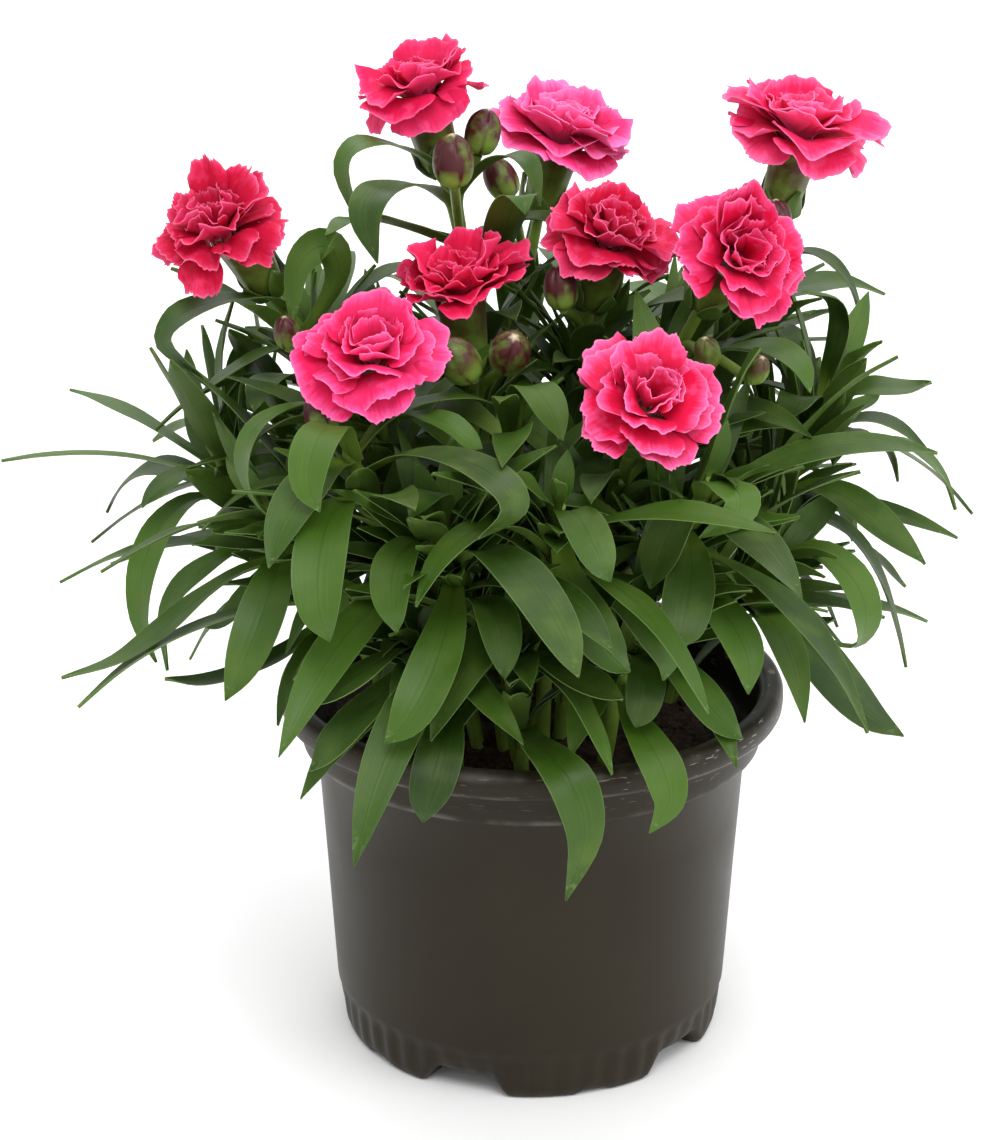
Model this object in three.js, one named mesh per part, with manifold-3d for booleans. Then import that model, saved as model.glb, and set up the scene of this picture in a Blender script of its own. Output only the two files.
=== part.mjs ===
// A pot carnation (dianthus) in a round plastic nursery pot, in millimetres, with +Z up.
// The origin is the middle of the pot's underside, on the surface that it stands on, and -Y is the front.
//
// Each stem is one solid with its leaves, calyx and buds. Each bloom's petals are one solid in their calyx.
// A leaf that would cross another stem swings, lifts or shortens until it is clear.
import * as THREE from "three";
import { mergeVertices } from "three/addons/utils/BufferGeometryUtils.js";
import Module from "manifold-3d";

const wasm = await Module();
wasm.setup();

// ---- Driving dimensions ----

const POT = {
  height: 104,
  rimRadius: 70, // outside of the rolled lip
  lipHeight: 7.5,
  bandRadius: 64.4, // outside of the band below the lip
  bandHeight: 9.5,
  shoulderRadius: 59.8, // wall just below the band
  footRadius: 55.4, // wall just above the fluted foot
  fluteHeight: 14,
  fluteDepth: 0.7,
  wall: 1.6,
  columns: 48, // flat faces round the wall, and flutes round its foot
  feet: 5,
  notchHeight: 6.5, // drain notches between the feet
  notchDegrees: 15, // half of the angle that a notch spans along the floor
  firstNotch: -111, // heading of one notch
  baseLift: 5, // underside between the feet and the middle pad
  padRadius: 13,
};
const SOIL = { rimDrop: 12, crown: 5, floorLift: 3, gap: 0.3, columns: 24, bump: 2.4 };
const STEM = {
  rootRadius: 2.1,
  topRadius: 1.6,
  rootDepth: 12,
  bareShare: 0.3, // of its length, straight and without leaves
  nodeHeight: 2.4,
  nodeSpacing: 3.4,
};
const LEAF = {
  pieces: 5,
  keel: 1.15,
  clearance: 0.5,
  // how a leaf may move to stay clear of its neighbours, in degrees and as a share of its length
  swings: [0, 6, -6, 12, -12, 20, -20, 30, -30],
  lifts: [0, 8, -8, 17, -17, 28, -28],
  cuts: [1, 0.88, 0.76],
  places: 8, // along the stem
};
const BUD = { length: 1.36, radius: 0.46, low: 0.3, high: 0.88 }; // as shares of its width
const CALYX = { length: 22, radius: 6.3, teeth: 5, lip: 0.78, throat: 0.72 };
const PETAL = { thickness: 0.9, waist: 0.55, rootHeight: 1.2, cup: 1.6, draws: 40 };
const BLOOM = {
  middle: 28, // height of the petals' middle above the calyx's foot
  seat: 23.4, // height of the lowest petals' roots above it
  core: 2.6, // radius of the core that the petals grow from
  gap: 0.35, // under the core
};

// ---- The plant ----

// at: middle of the petals. tilt and heading: where the bloom faces, in degrees from upright and round from
// +X. droop: how far the outer petals hang, in degrees. root: where its stem leaves the soil.
const BLOOMS = [
  { at: [-31, 20, 267], tilt: 17, heading: 210, size: 34, droop: 34, root: [-9, 9] },
  { at: [9, 46, 249], tilt: 19, heading: 318, size: 40, droop: 8, root: [4, 20] },
  { at: [72, 16, 256], tilt: 17, heading: 318, size: 43, droop: 10, root: [22, 9] },
  { at: [-83, -15, 236], tilt: 40, heading: 222, size: 39, droop: 26, root: [-24, -3] },
  { at: [-20, -8, 220], tilt: 9, heading: 220, size: 38, droop: -14, root: [-10, -9] },
  { at: [21, -4, 232], tilt: 30, heading: 292, size: 37, droop: 14, root: [9, 0] },
  { at: [53, -32, 233], tilt: 46, heading: 296, size: 38, droop: 12, root: [20, -13] },
  { at: [-41, -52, 213], tilt: 38, heading: 266, size: 38, droop: 14, root: [-18, -20] },
  { at: [28, -62, 203], tilt: 50, heading: 276, size: 39, droop: 10, root: [6, -22] },
];

// on: the bloom whose stem it branches from, counted from 0. share: how far up that stem. size: its width.
const BUDS = [
  { on: 0, share: 0.84, at: [-21, 3, 249], tilt: 6, heading: 250, size: 12 },
  { on: 0, share: 0.9, at: [-13, 20, 253], tilt: 14, heading: 20, size: 10.5 },
  { on: 1, share: 0.8, at: [-9, 30, 238], tilt: 30, heading: 160, size: 10 },
  { on: 2, share: 0.87, at: [64, 0, 234], tilt: 6, heading: 180, size: 8.5 },
  { on: 3, share: 0.8, at: [-64, -22, 209], tilt: 12, heading: 240, size: 7.5 },
  { on: 4, share: 0.84, at: [-20, -34, 205], tilt: 38, heading: 200, size: 11.5 },
  { on: 4, share: 0.86, at: [-6, -34, 207], tilt: 40, heading: 285, size: 11.5 },
  { on: 5, share: 0.86, at: [7, -10, 218], tilt: 8, heading: 180, size: 10 },
  { on: 6, share: 0.82, at: [44, -34, 207], tilt: 20, heading: 240, size: 7.5 },
  { on: 6, share: 0.8, at: [57, -36, 203], tilt: 30, heading: 300, size: 7 },
  { on: 7, share: 0.82, at: [-54, -48, 195], tilt: 24, heading: 130, size: 9.5 },
];

// tip: the end of a leafy shoot. tilt: its lean there, away from the pot's middle. root: how far from the
// middle it leaves the soil. pairs: pairs of leaves that it grows besides those of LEAVES.
const SHOOTS = [
  { tip: [-86, -1, 170], tilt: 26, root: 26, pairs: 2, size: 0.9 },
  { tip: [-68, -34, 163], tilt: 34, root: 26, pairs: 2, size: 1 },
  { tip: [-47, -52, 187], tilt: 22, root: 26, pairs: 3, size: 0.95 },
  { tip: [-23, -60, 166], tilt: 30, root: 25, pairs: 3, size: 1 },
  { tip: [6, -61, 172], tilt: 28, root: 24, pairs: 3, size: 1 },
  { tip: [44, -47, 174], tilt: 30, root: 25, pairs: 3, size: 1 },
  { tip: [80, 0, 186], tilt: 18, root: 26, pairs: 2, size: 0.9 },
  { tip: [61, -22, 144], tilt: 48, root: 25, pairs: 2, size: 1 },
  { tip: [-6, -30, 184], tilt: 12, root: 13, pairs: 4, size: 0.9 },
  { tip: [70, 34, 168], tilt: 40, root: 26, pairs: 4, size: 1 },
  { tip: [40, 64, 172], tilt: 38, root: 26, pairs: 4, size: 1 },
  { tip: [0, 74, 168], tilt: 40, root: 26, pairs: 4, size: 1 },
  { tip: [-40, 62, 172], tilt: 38, root: 26, pairs: 4, size: 1 },
  { tip: [-70, 32, 166], tilt: 40, root: 26, pairs: 4, size: 1 },
  { tip: [20, 24, 198], tilt: 10, root: 14, pairs: 4, size: 0.9 },
  { tip: [-30, -50, 134], tilt: 48, root: 36, pairs: 2, size: 0.72 },
  { tip: [28, -50, 136], tilt: 48, root: 36, pairs: 2, size: 0.72 },
  { tip: [-4, -52, 132], tilt: 46, root: 36, pairs: 2, size: 0.72 },
  { tip: [-57, -15, 136], tilt: 50, root: 36, pairs: 2, size: 0.74 },
  { tip: [55, 13, 136], tilt: 50, root: 36, pairs: 2, size: 0.8 },
  { tip: [-16, 52, 138], tilt: 46, root: 36, pairs: 2, size: 0.9 },
  { tip: [15, 52, 138], tilt: 46, root: 36, pairs: 2, size: 0.9 },
];

// The leaves that show most. points: where the leaf leaves its stem, two points that steer it, and its tip.
// width: its widest. roll: how far its face is turned, in degrees.
const LEAVES = [
  { points: [[-85, -4, 156], [-100, -11, 175], [-121, -22, 177], [-139, -26, 175]], width: 11, roll: 12 },
  { points: [[-82, 0, 162], [-94, 4, 170], [-111, 8, 181], [-126, 12, 183]], width: 10, roll: 8 },
  { points: [[-73, 2, 173], [-90, -1, 198], [-109, -16, 170], [-114, -16, 148]], width: 11 },
  { points: [[-83, -6, 157], [-92, -15, 177], [-102, -21, 167], [-107, -24, 163]], width: 9 },
  { points: [[-65, -34, 158], [-74, -50, 174], [-94, -60, 167], [-109, -64, 158]], width: 13, roll: 26 },
  { points: [[-84, -8, 154], [-100, -20, 173], [-111, -34, 138], [-100, -34, 121]], width: 11 },
  { points: [[-71, -24, 146], [-91, -29, 149], [-98, -38, 125], [-125, -40, 124]], width: 11 },
  { points: [[-73, -14, 145], [-83, -16, 145], [-105, -18, 140], [-99, -20, 113]], width: 9 },
  { points: [[-60, -20, 122], [-71, -27, 116], [-85, -31, 113], [-98, -32, 116]], width: 10 },
  { points: [[-64, -42, 160], [-65, -61, 159], [-71, -71, 139], [-78, -72, 126]], width: 12.5 },
  { points: [[-73, -10, 138], [-79, -14, 131], [-84, -11, 121], [-91, -12, 124]], width: 9 },
  { points: [[-83, 0, 158], [-91, 4, 176], [-99, 8, 185], [-105, 12, 194]], width: 9, roll: 30 },
  { points: [[-82, -4, 159], [-84, -13, 177], [-90, -26, 194], [-93, -32, 204]], width: 10 },
  { points: [[-81, 2, 160], [-87, 8, 178], [-90, 14, 187], [-94, 20, 198]], width: 8, roll: 30 },
  { points: [[-81, 12, 166], [-86, 17, 182], [-83, 18, 194], [-73, 26, 194]], width: 8, roll: 20 },
  { points: [[-52, -34, 186], [-73, -47, 207], [-83, -58, 180], [-61, -56, 164]], width: 12, roll: 10 },
  { points: [[-55, -26, 188], [-61, -39, 201], [-71, -42, 198], [-72, -46, 192]], width: 12, roll: 20 },
  { points: [[-58, -12, 187], [-64, -19, 199], [-72, -31, 200], [-72, -32, 190]], width: 12, roll: 10 },
  { points: [[-68, 0, 189], [-69, -9, 204], [-78, -15, 196], [-85, -18, 190]], width: 11, roll: 14 },
  { points: [[-46, -50, 185], [-49, -63, 211], [-59, -82, 187], [-51, -80, 179]], width: 12 },
  { points: [[-40, -60, 167], [-54, -74, 188], [-55, -99, 158], [-50, -92, 150]], width: 13.5 },
  { points: [[-29, -60, 172], [-38, -69, 175], [-36, -92, 159], [-34, -86, 150]], width: 11.5 },
  { points: [[-16, -52, 175], [-22, -60, 187], [-30, -69, 181], [-33, -68, 174]], width: 10 },
  { points: [[-33, -50, 183], [-27, -63, 200], [12, -108, 191], [-14, -88, 175]], width: 12.5 },
  { points: [[-26, -62, 160], [-10, -81, 181], [7, -115, 163], [10, -110, 148]], width: 14 },
  { points: [[-19, -60, 149], [-20, -80, 151], [-28, -96, 132], [-37, -92, 123]], width: 13 },
  { points: [[-10, -62, 153], [-16, -79, 160], [-17, -87, 147], [-17, -86, 137]], width: 11 },
  { points: [[3, -62, 160], [9, -79, 157], [16, -95, 147], [23, -94, 143]], width: 13 },
  { points: [[-5, -58, 169], [8, -71, 188], [15, -90, 170], [18, -88, 164]], width: 11.5 },
  { points: [[18, -64, 182], [14, -82, 176], [27, -95, 170], [28, -92, 160]], width: 11 },
  { points: [[-9, -52, 133], [2, -67, 140], [16, -80, 132], [22, -80, 130]], width: 12 },
  { points: [[-11, -40, 107], [-3, -97, 126], [23, -90, 110], [8, -84, 76]], width: 12.5 },
  { points: [[-21, -48, 119], [-19, -88, 125], [-28, -88, 107], [-28, -86, 99]], width: 12 },
  { points: [[20, -46, 117], [23, -88, 123], [43, -82, 107], [29, -82, 94]], width: 11 },
  { points: [[-34, -56, 137], [-40, -75, 144], [-48, -85, 130], [-60, -86, 131]], width: 13, roll: 16 },
  { points: [[-38, -52, 121], [-42, -72, 127], [-49, -87, 123], [-56, -86, 113]], width: 13, roll: 10 },
  { points: [[46, -46, 158], [43, -62, 163], [35, -81, 146], [36, -76, 142]], width: 13 },
  { points: [[48, -40, 169], [38, -54, 177], [31, -62, 160], [30, -64, 153]], width: 12 },
  { points: [[44, -44, 147], [48, -59, 147], [56, -73, 141], [54, -70, 127]], width: 12 },
  { points: [[40, -48, 136], [41, -71, 134], [44, -78, 124], [52, -80, 119]], width: 12 },
  { points: [[32, -50, 134], [37, -67, 139], [35, -75, 124], [33, -74, 120]], width: 10 },
  { points: [[18, -56, 147], [26, -69, 155], [37, -80, 142], [32, -78, 134]], width: 12.5 },
  { points: [[27, -52, 170], [37, -60, 188], [65, -77, 182], [40, -76, 171]], width: 11 },
  { points: [[40, -44, 178], [44, -59, 186], [53, -64, 201], [57, -70, 190]], width: 12 },
  { points: [[53, -26, 177], [52, -37, 195], [51, -45, 206], [55, -50, 211]], width: 11 },
  { points: [[49, -8, 189], [58, -16, 210], [71, -33, 206], [71, -32, 195]], width: 12 },
  { points: [[73, 18, 212], [80, 18, 228], [90, 18, 211], [90, 18, 196]], width: 8 },
  { points: [[76, 4, 182], [78, 1, 197], [90, 2, 213], [71, -4, 214]], width: 9, roll: 20 },
  { points: [[79, 0, 181], [83, -5, 197], [94, -14, 190], [100, -16, 196]], width: 10, roll: 14 },
  { points: [[81, 4, 178], [86, 6, 178], [93, 8, 181], [94, 10, 184]], width: 7 },
  { points: [[80, 2, 179], [75, -8, 194], [67, -19, 190], [67, -20, 184]], width: 11 },
  { points: [[78, 2, 176], [79, -2, 184], [81, 1, 186], [82, 0, 190]], width: 7, roll: 30 },
  { points: [[66, -4, 162], [79, -8, 184], [92, -12, 188], [105, -16, 174]], width: 11 },
  { points: [[69, 6, 162], [84, 7, 173], [99, 12, 176], [101, 10, 157]], width: 10 },
  { points: [[68, -10, 158], [78, -15, 171], [93, -24, 157], [104, -26, 146]], width: 12, roll: 10 },
  { points: [[73, 0, 145], [93, -3, 161], [99, -10, 126], [103, -10, 110]], width: 10 },
  { points: [[60, -20, 140], [85, -31, 174], [103, -49, 112], [70, -36, 131]], width: 12.5, roll: 12 },
  { points: [[60, -14, 130], [66, -20, 127], [76, -19, 125], [81, -22, 129]], width: 11 },
  { points: [[59, -28, 131], [72, -42, 139], [83, -57, 115], [97, -62, 113]], width: 12.5, roll: 20 },
  { points: [[79, 6, 144], [94, 8, 146], [100, 10, 130], [107, 12, 124]], width: 9 },
  { points: [[69, -12, 157], [86, -20, 172], [100, -30, 146], [72, -26, 138]], width: 10 },
  { points: [[73, 8, 163], [83, 12, 181], [84, 9, 156], [84, 10, 152]], width: 10 },
  { points: [[74, 14, 158], [82, 19, 168], [94, 21, 169], [90, 20, 157]], width: 10 },
  { points: [[-25, 8, 235], [-26, 5, 254], [-64, 6, 264], [-43, 0, 228]], width: 10 },
  { points: [[-23, 2, 234], [-29, -7, 249], [-51, -21, 250], [-40, -24, 227]], width: 12.5 },
  { points: [[-36, 4, 216], [-50, -2, 238], [-56, -1, 238], [-63, -4, 232]], width: 12, roll: 10 },
  { points: [[-39, -2, 213], [-37, -10, 232], [-66, -11, 240], [-63, -16, 207]], width: 9.5 },
  { points: [[-68, -14, 198], [-61, -16, 227], [-118, -26, 222], [-85, -28, 202]], width: 10 },
  { points: [[-20, 10, 244], [-13, 12, 249], [1, 7, 257], [2, 6, 235]], width: 9 },
  { points: [[-8, 16, 207], [-8, 13, 223], [-4, -9, 253], [-2, -12, 237]], width: 12 },
  { points: [[-2, 22, 221], [2, 20, 236], [11, 10, 230], [12, 8, 223]], width: 10 },
  { points: [[-9, -34, 197], [-5, -41, 214], [5, -53, 198], [7, -54, 189]], width: 11 },
  { points: [[-28, -48, 192], [-22, -55, 202], [-17, -59, 189], [-13, -60, 189]], width: 9 },
  { points: [[-16, -18, 208], [-26, -28, 219], [-29, -39, 208], [-30, -40, 203]], width: 10 },
];

// ---- Small helpers ----

const { abs, cos, sin, tan, PI, min, max, floor, ceil, atan2, asin } = Math;
const radians = (degrees) => (degrees * PI) / 180;
const mix = (a, b, t) => a + (b - a) * t;
const smooth = (t) => t * t * (3 - 2 * t);
const vector = (p) => new THREE.Vector3(...p);
const count = (n, make) => Array.from({ length: n }, (_, i) => make(i));

// The direction that leans by tilt from upright towards heading, both in degrees.
function facing(tilt, heading) {
  const [lean, round] = [radians(tilt), radians(heading)];
  return new THREE.Vector3(sin(lean) * cos(round), sin(lean) * sin(round), cos(lean));
}

// A repeatable number from 0 to 1 for a few keys, such as a stem and a leaf.
function chance(...keys) {
  let state = 20011;
  for (const key of [...keys, 7, 3]) {
    state = (state * 1664525 + (key + 1) * 69069 + 1013904223) % 4294967296;
  }
  return state / 4294967296;
}

// A closed mesh as a manifold-3d solid.
function solidOf(points, faces) {
  const vertProperties = new Float32Array(points.flatMap((p) => p.toArray()));
  const triVerts = new Uint32Array(faces.flat());
  return new wasm.Manifold(new wasm.Mesh({ numProp: 3, vertProperties, triVerts }));
}

const union = (solids) => (solids.length > 1 ? wasm.Manifold.union(solids) : solids[0]);

// The faces between two rings, which may have different numbers of points, each with the side that it is on.
function ladder(a, b) {
  const [m, n] = [a.length, b.length];
  const faces = [];
  for (let [i, j] = [0, 0]; (m > 1 && i < m) || (n > 1 && j < n); ) {
    const alongA = n === 1 || (m > 1 && (i + 1) / m <= (j + 1) / n);
    const face = alongA ? [a[i], a[(i + 1) % m], b[j % n]] : [a[i % m], b[(j + 1) % n], b[j]];
    faces.push({ side: alongA ? i : j, face });
    if (alongA) i++;
    else j++;
  }
  return faces;
}

// A mesh that is built ring by ring. Rings run anticlockwise seen from the end of the row that they are in.
class Shell {
  points = [];
  faces = [];

  ring(points) {
    this.points.push(...points);
    return points.map((_, i) => this.points.length - points.length + i);
  }

  // Faces between two rings. A side in open stays without faces.
  join(a, b, open = []) {
    if (a.length === 3 && b.length === 3) {
      a.forEach((_, i) => this.bulge([a[i], a[(i + 1) % 3], b[(i + 1) % 3], b[i]]));
      return;
    }
    const kept = ladder(a, b).filter(({ side }) => !open.includes(side));
    this.faces.push(...kept.map(({ face }) => face));
  }

  // Faces between a foot and the first ring of what grows from it, started where they hold the most.
  graft(foot, ring) {
    const turned = (row, i) => [...row.slice(i), ...row.slice(0, i)];
    const centre = this.points[foot[0]];
    const held = ({ face }) => {
      const [a, b, c] = face.map((i) => this.points[i].clone().sub(centre));
      return a.dot(b.cross(c));
    };
    const ways = foot.flatMap((_, i) => ring.map((_, j) => ladder(turned(foot, i), turned(ring, j))));
    const room = ways.map((faces) => faces.reduce((sum, face) => sum + held(face), 0));
    this.faces.push(...ways[room.indexOf(max(...room))].map(({ face }) => face));
  }

  // One side between two rings of a leaf. It is split so that it bulges outwards: a leaf's faces never cross.
  bulge([p, q, r, s]) {
    const [a, b, c, d] = [p, q, r, s].map((i) => this.points[i]);
    const normal = b.clone().sub(a).cross(d.clone().sub(a));
    const proud = normal.dot(c.clone().sub(a)) > 0;
    this.faces.push(...(proud ? [[p, q, r], [p, r, s]] : [[p, q, s], [q, r, s]]));
  }

  // Rings that carry on from a ring.
  extend(from, rings) {
    return rings.reduce((last, points) => {
      const next = this.ring(points);
      this.join(last, next);
      return next;
    }, from);
  }

  // A flat end on a ring, which looks back along the row at its start and onwards at its end.
  cap(ring, start = false) {
    for (let j = 1; j + 1 < ring.length; j++) {
      this.faces.push(start ? [ring[0], ring[j + 1], ring[j]] : [ring[0], ring[j], ring[j + 1]]);
    }
  }

  solid() {
    return solidOf(this.points, this.faces);
  }
}

// A closed solid over a row of rings, where the first and the last may be one point.
function skin([first, ...rings]) {
  const shell = new Shell();
  const start = shell.ring(first);
  const end = shell.extend(start, rings);
  shell.cap(start, true);
  shell.cap(end);
  return shell.solid();
}

// A direction with two more that are square to it. They don't turn about it as it leans.
function axesAlong(direction) {
  const along = direction.clone().normalize();
  const side = new THREE.Vector3(0, 1, 0).cross(along).normalize();
  return { along, side, up: new THREE.Vector3().crossVectors(along, side) };
}

// Points round an axis at a height along it. Every other point stands off by wave: [outwards, along].
function circle(centre, { along, side, up }, radius, sides, height = 0, wave = [0, 0]) {
  return count(sides, (i) => {
    const angle = (2 * PI * i) / sides;
    const [out, on] = i % 2 ? wave : [0, 0];
    return centre
      .clone()
      .addScaledVector(side, (radius + out) * cos(angle))
      .addScaledVector(up, (radius + out) * sin(angle))
      .addScaledVector(along, height + on);
  });
}

const ORIGIN = new THREE.Vector3();
const UPRIGHT = axesAlong(new THREE.Vector3(0, 0, 1));

// ---- Pot and soil ----

const soilTop = POT.height - SOIL.rimDrop;
const bandFoot = POT.height - POT.lipHeight - POT.bandHeight;
const floorTop = POT.baseLift + POT.wall;

// Rows of the pot's skin as radius, height and number of points: underside, flutes, outside and inside.
const POT_ROWS = [
  [0, 0, 1],
  [POT.padRadius, 0, POT.columns / 4],
  [POT.padRadius + 3, POT.baseLift, POT.columns / 4],
  [POT.footRadius - 14, POT.baseLift, POT.columns / 2],
  [POT.footRadius - 11, 0, POT.columns / 2],
  [POT.footRadius - 3.6, 0, POT.columns],
  [POT.footRadius - 1.6, 3.2, 2 * POT.columns],
  [POT.footRadius - 0.6, POT.fluteHeight - 0.6, 2 * POT.columns],
  [POT.footRadius, POT.fluteHeight + 1, POT.columns],
  [POT.shoulderRadius, bandFoot - 2, POT.columns],
  [POT.bandRadius - 0.8, bandFoot, POT.columns],
  [POT.bandRadius, POT.height - POT.lipHeight + 0.6, POT.columns],
  [POT.rimRadius - 0.8, POT.height - POT.lipHeight, POT.columns],
  [POT.rimRadius, POT.height - 3.4, POT.columns],
  [POT.rimRadius - 1.6, POT.height, POT.columns],
  [POT.bandRadius + 0.2, POT.height - 0.4, POT.columns],
  [POT.bandRadius - POT.wall + 0.4, POT.height - 2.4, POT.columns],
  [POT.bandRadius - POT.wall - 0.8, bandFoot + 1.4, POT.columns],
  [POT.shoulderRadius - POT.wall, bandFoot - 1, POT.columns / 2],
  [POT.footRadius - POT.wall - 2.6, floorTop, POT.columns / 2],
  [0, floorTop, 1],
];

function potShell() {
  return skin(
    POT_ROWS.map(([radius, z, columns]) =>
      circle(ORIGIN, UPRIGHT, radius, columns, z, [columns > POT.columns ? -POT.fluteDepth : 0, 0]),
    ),
  );
}

// A wedge that cuts one drain notch, wider along the floor than at its top.
function notch(heading) {
  const corner = (radius, degrees, z) =>
    new THREE.Vector3(radius * cos(radians(heading + degrees)), radius * sin(radians(heading + degrees)), z);
  const { notchDegrees: foot, notchHeight: top } = POT;
  const end = (radius) => [
    corner(radius, -foot, -1),
    corner(radius, foot, -1),
    corner(radius, foot * 0.55, top),
    corner(radius, -foot * 0.55, top),
  ];
  return skin([end(POT.footRadius - 12.5), end(POT.footRadius + 3)]);
}

function potSolid() {
  const notches = count(POT.feet, (i) => notch(POT.firstNotch + (360 * i) / POT.feet));
  return notches.reduce((pot, cut) => pot.subtract(cut), potShell());
}

// Soil with a low crown and an uneven top, and a plain hole round each stem.
function soilSolid(holes) {
  const top = (radius, z, key) =>
    circle(ORIGIN, UPRIGHT, radius, SOIL.columns, z).map((p, i) => {
      p.z += (chance(900 + key, i) - 0.5) * SOIL.bump;
      return p;
    });
  const wallGap = POT.wall + SOIL.gap + 0.6;
  const outer = POT.shoulderRadius - wallGap;
  const body = skin([
    circle(ORIGIN, UPRIGHT, POT.footRadius - wallGap - 2.6, SOIL.columns, floorTop + SOIL.floorLift),
    circle(ORIGIN, UPRIGHT, outer - 0.9, SOIL.columns, soilTop - 16),
    top(outer - 0.8, soilTop - 2, 0),
    top(outer * 0.62, soilTop + SOIL.crown * 0.6, 1),
    [new THREE.Vector3(0, 0, soilTop + SOIL.crown)],
  ]);
  return body.subtract(union(holes));
}

// ---- Stems, calyxes and buds ----

// The middle line of a stem from its root in the soil to its top, where it points along lean.
function stemCurve(root, top, lean) {
  const reach = top.distanceTo(root);
  const rise = new THREE.Vector3(root.x * 1.25, root.y * 1.25, root.z + reach * 0.42);
  return new THREE.CubicBezierCurve3(root, rise, top.clone().addScaledVector(lean, -reach * 0.36), top);
}

// A ring of a stalk that tapers along a curve.
function stalkRing({ curve, sides, radii: [start, end] }, t) {
  return circle(curve.getPoint(t), axesAlong(curve.getTangent(t)), mix(start, end, t), sides);
}

const stalkRings = (stalk, pieces) => count(pieces + 1, (i) => stalkRing(stalk, i / pieces));
const widened = (stalk, margin) => ({ ...stalk, radii: stalk.radii.map((radius) => radius + margin) });

// A hole in the soil for the straight foot of a stem, open at the top.
function stemHole(stem) {
  const wide = widened(stem, 2 * SOIL.gap);
  const start = stalkRing(wide, 0).map((point) => point.setZ(point.z - SOIL.gap));
  return skin([start, stalkRing(wide, STEM.bareShare)]);
}

// A green cup with pointed teeth, on the end of a flower stem.
function calyxRings(foot, axis) {
  const axes = axesAlong(axis);
  const { length, radius, teeth, lip, throat } = CALYX;
  return [
    circle(foot, axes, radius * 0.93, 2 * teeth, length * 0.4),
    circle(foot, axes, radius + 0.5, 2 * teeth, length + 0.6, [0.3, -3.2]),
    circle(foot, axes, radius - 1.3, 2 * teeth, length * lip),
    [foot.clone().addScaledVector(axes.along, length * throat)],
  ];
}

// The stalk of a bud from the flower stem, then the pointed oval bud.
function budRings({ at, tilt, heading, size, share }, curve) {
  const axes = axesAlong(facing(tilt, heading));
  const foot = vector(at).addScaledVector(axes.along, (-BUD.length / 2) * size);
  const start = curve.getPoint(share);
  const bend = start.clone().addScaledVector(curve.getTangent(share), 0.4 * start.distanceTo(foot));
  const line = new THREE.QuadraticBezierCurve3(start, bend, foot);
  return [
    ...stalkRings({ curve: line, sides: 4, radii: [1.1, 1.3] }, 2).slice(1),
    circle(foot, axes, BUD.radius * size, 6, BUD.low * size),
    circle(foot, axes, BUD.radius * size, 6, BUD.high * size),
    [foot.clone().addScaledVector(axes.along, BUD.length * size)],
  ];
}

// ---- Petals ----

// From the outer petals to the upright middle ones. rise is the slope at the root, in degrees, and bend what
// it loses on the way to the edge. reach and width are shares of the bloom's. radius and z place their roots.
const PETAL_LAYERS = [
  { petals: 5, rise: 14, bend: 26, reach: 1, width: 1, radius: 3.6, z: 0 },
  { petals: 5, rise: 40, bend: 32, reach: 0.88, width: 0.9, radius: 3.3, z: 1.9 },
  { petals: 4, rise: 66, bend: 22, reach: 0.7, width: 0.8, radius: 2.7, z: 3.8 },
];

// The petal of a bloom at place i of a layer, as one of several random draws.
function petalOf(bloom, index, row, i, attempt) {
  const layer = PETAL_LAYERS[row];
  const draw = (use) => chance(index, row, i, use, attempt) - 0.5;
  const droop = bloom.droop * [1, 0.45, 0.1][row];
  return {
    heading: (2 * PI * (i + 0.5 + 0.5 * (row % 2))) / layer.petals + radians(draw(0) * 8),
    rise: layer.rise - droop * 0.55 + draw(1) * 14,
    bend: layer.bend + droop * 0.9 + draw(2) * 16,
    reach: (bloom.size / 2 - 2.6) * layer.reach * (1 + draw(3) * 0.16),
    half: bloom.size * 0.24 * layer.width * (1 + draw(4) * 0.16),
    share: 0.92 * tan(PI / layer.petals),
    wave: 1.4 * draw(5),
    layer,
  };
}

// A point of a petal: across from -1 to 1, r from its root to its edge, shift along its face's normal.
function petalPoint(petal, across, r, shift) {
  const steps = 6;
  let [out, z] = [petal.layer.radius, petal.layer.z];
  for (let i = 0; i < steps; i++) {
    const slope = radians(petal.rise - petal.bend * r * ((i + 0.5) / steps));
    out += (cos(slope) * petal.reach * r) / steps;
    z += (sin(slope) * petal.reach * r) / steps;
  }
  const slope = radians(petal.rise - petal.bend * r);
  const raise = shift + PETAL.cup * across * across * r + petal.wave * sin(5 * across) * r;
  const x = out - sin(slope) * raise;
  const width = min(petal.half * mix(0.2, 1, min(1, r / 0.75)), petal.share * x);
  const point = new THREE.Vector3(x, width * across, z + cos(slope) * raise);
  return point.applyAxisAngle(UPRIGHT.along, petal.heading);
}

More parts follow.
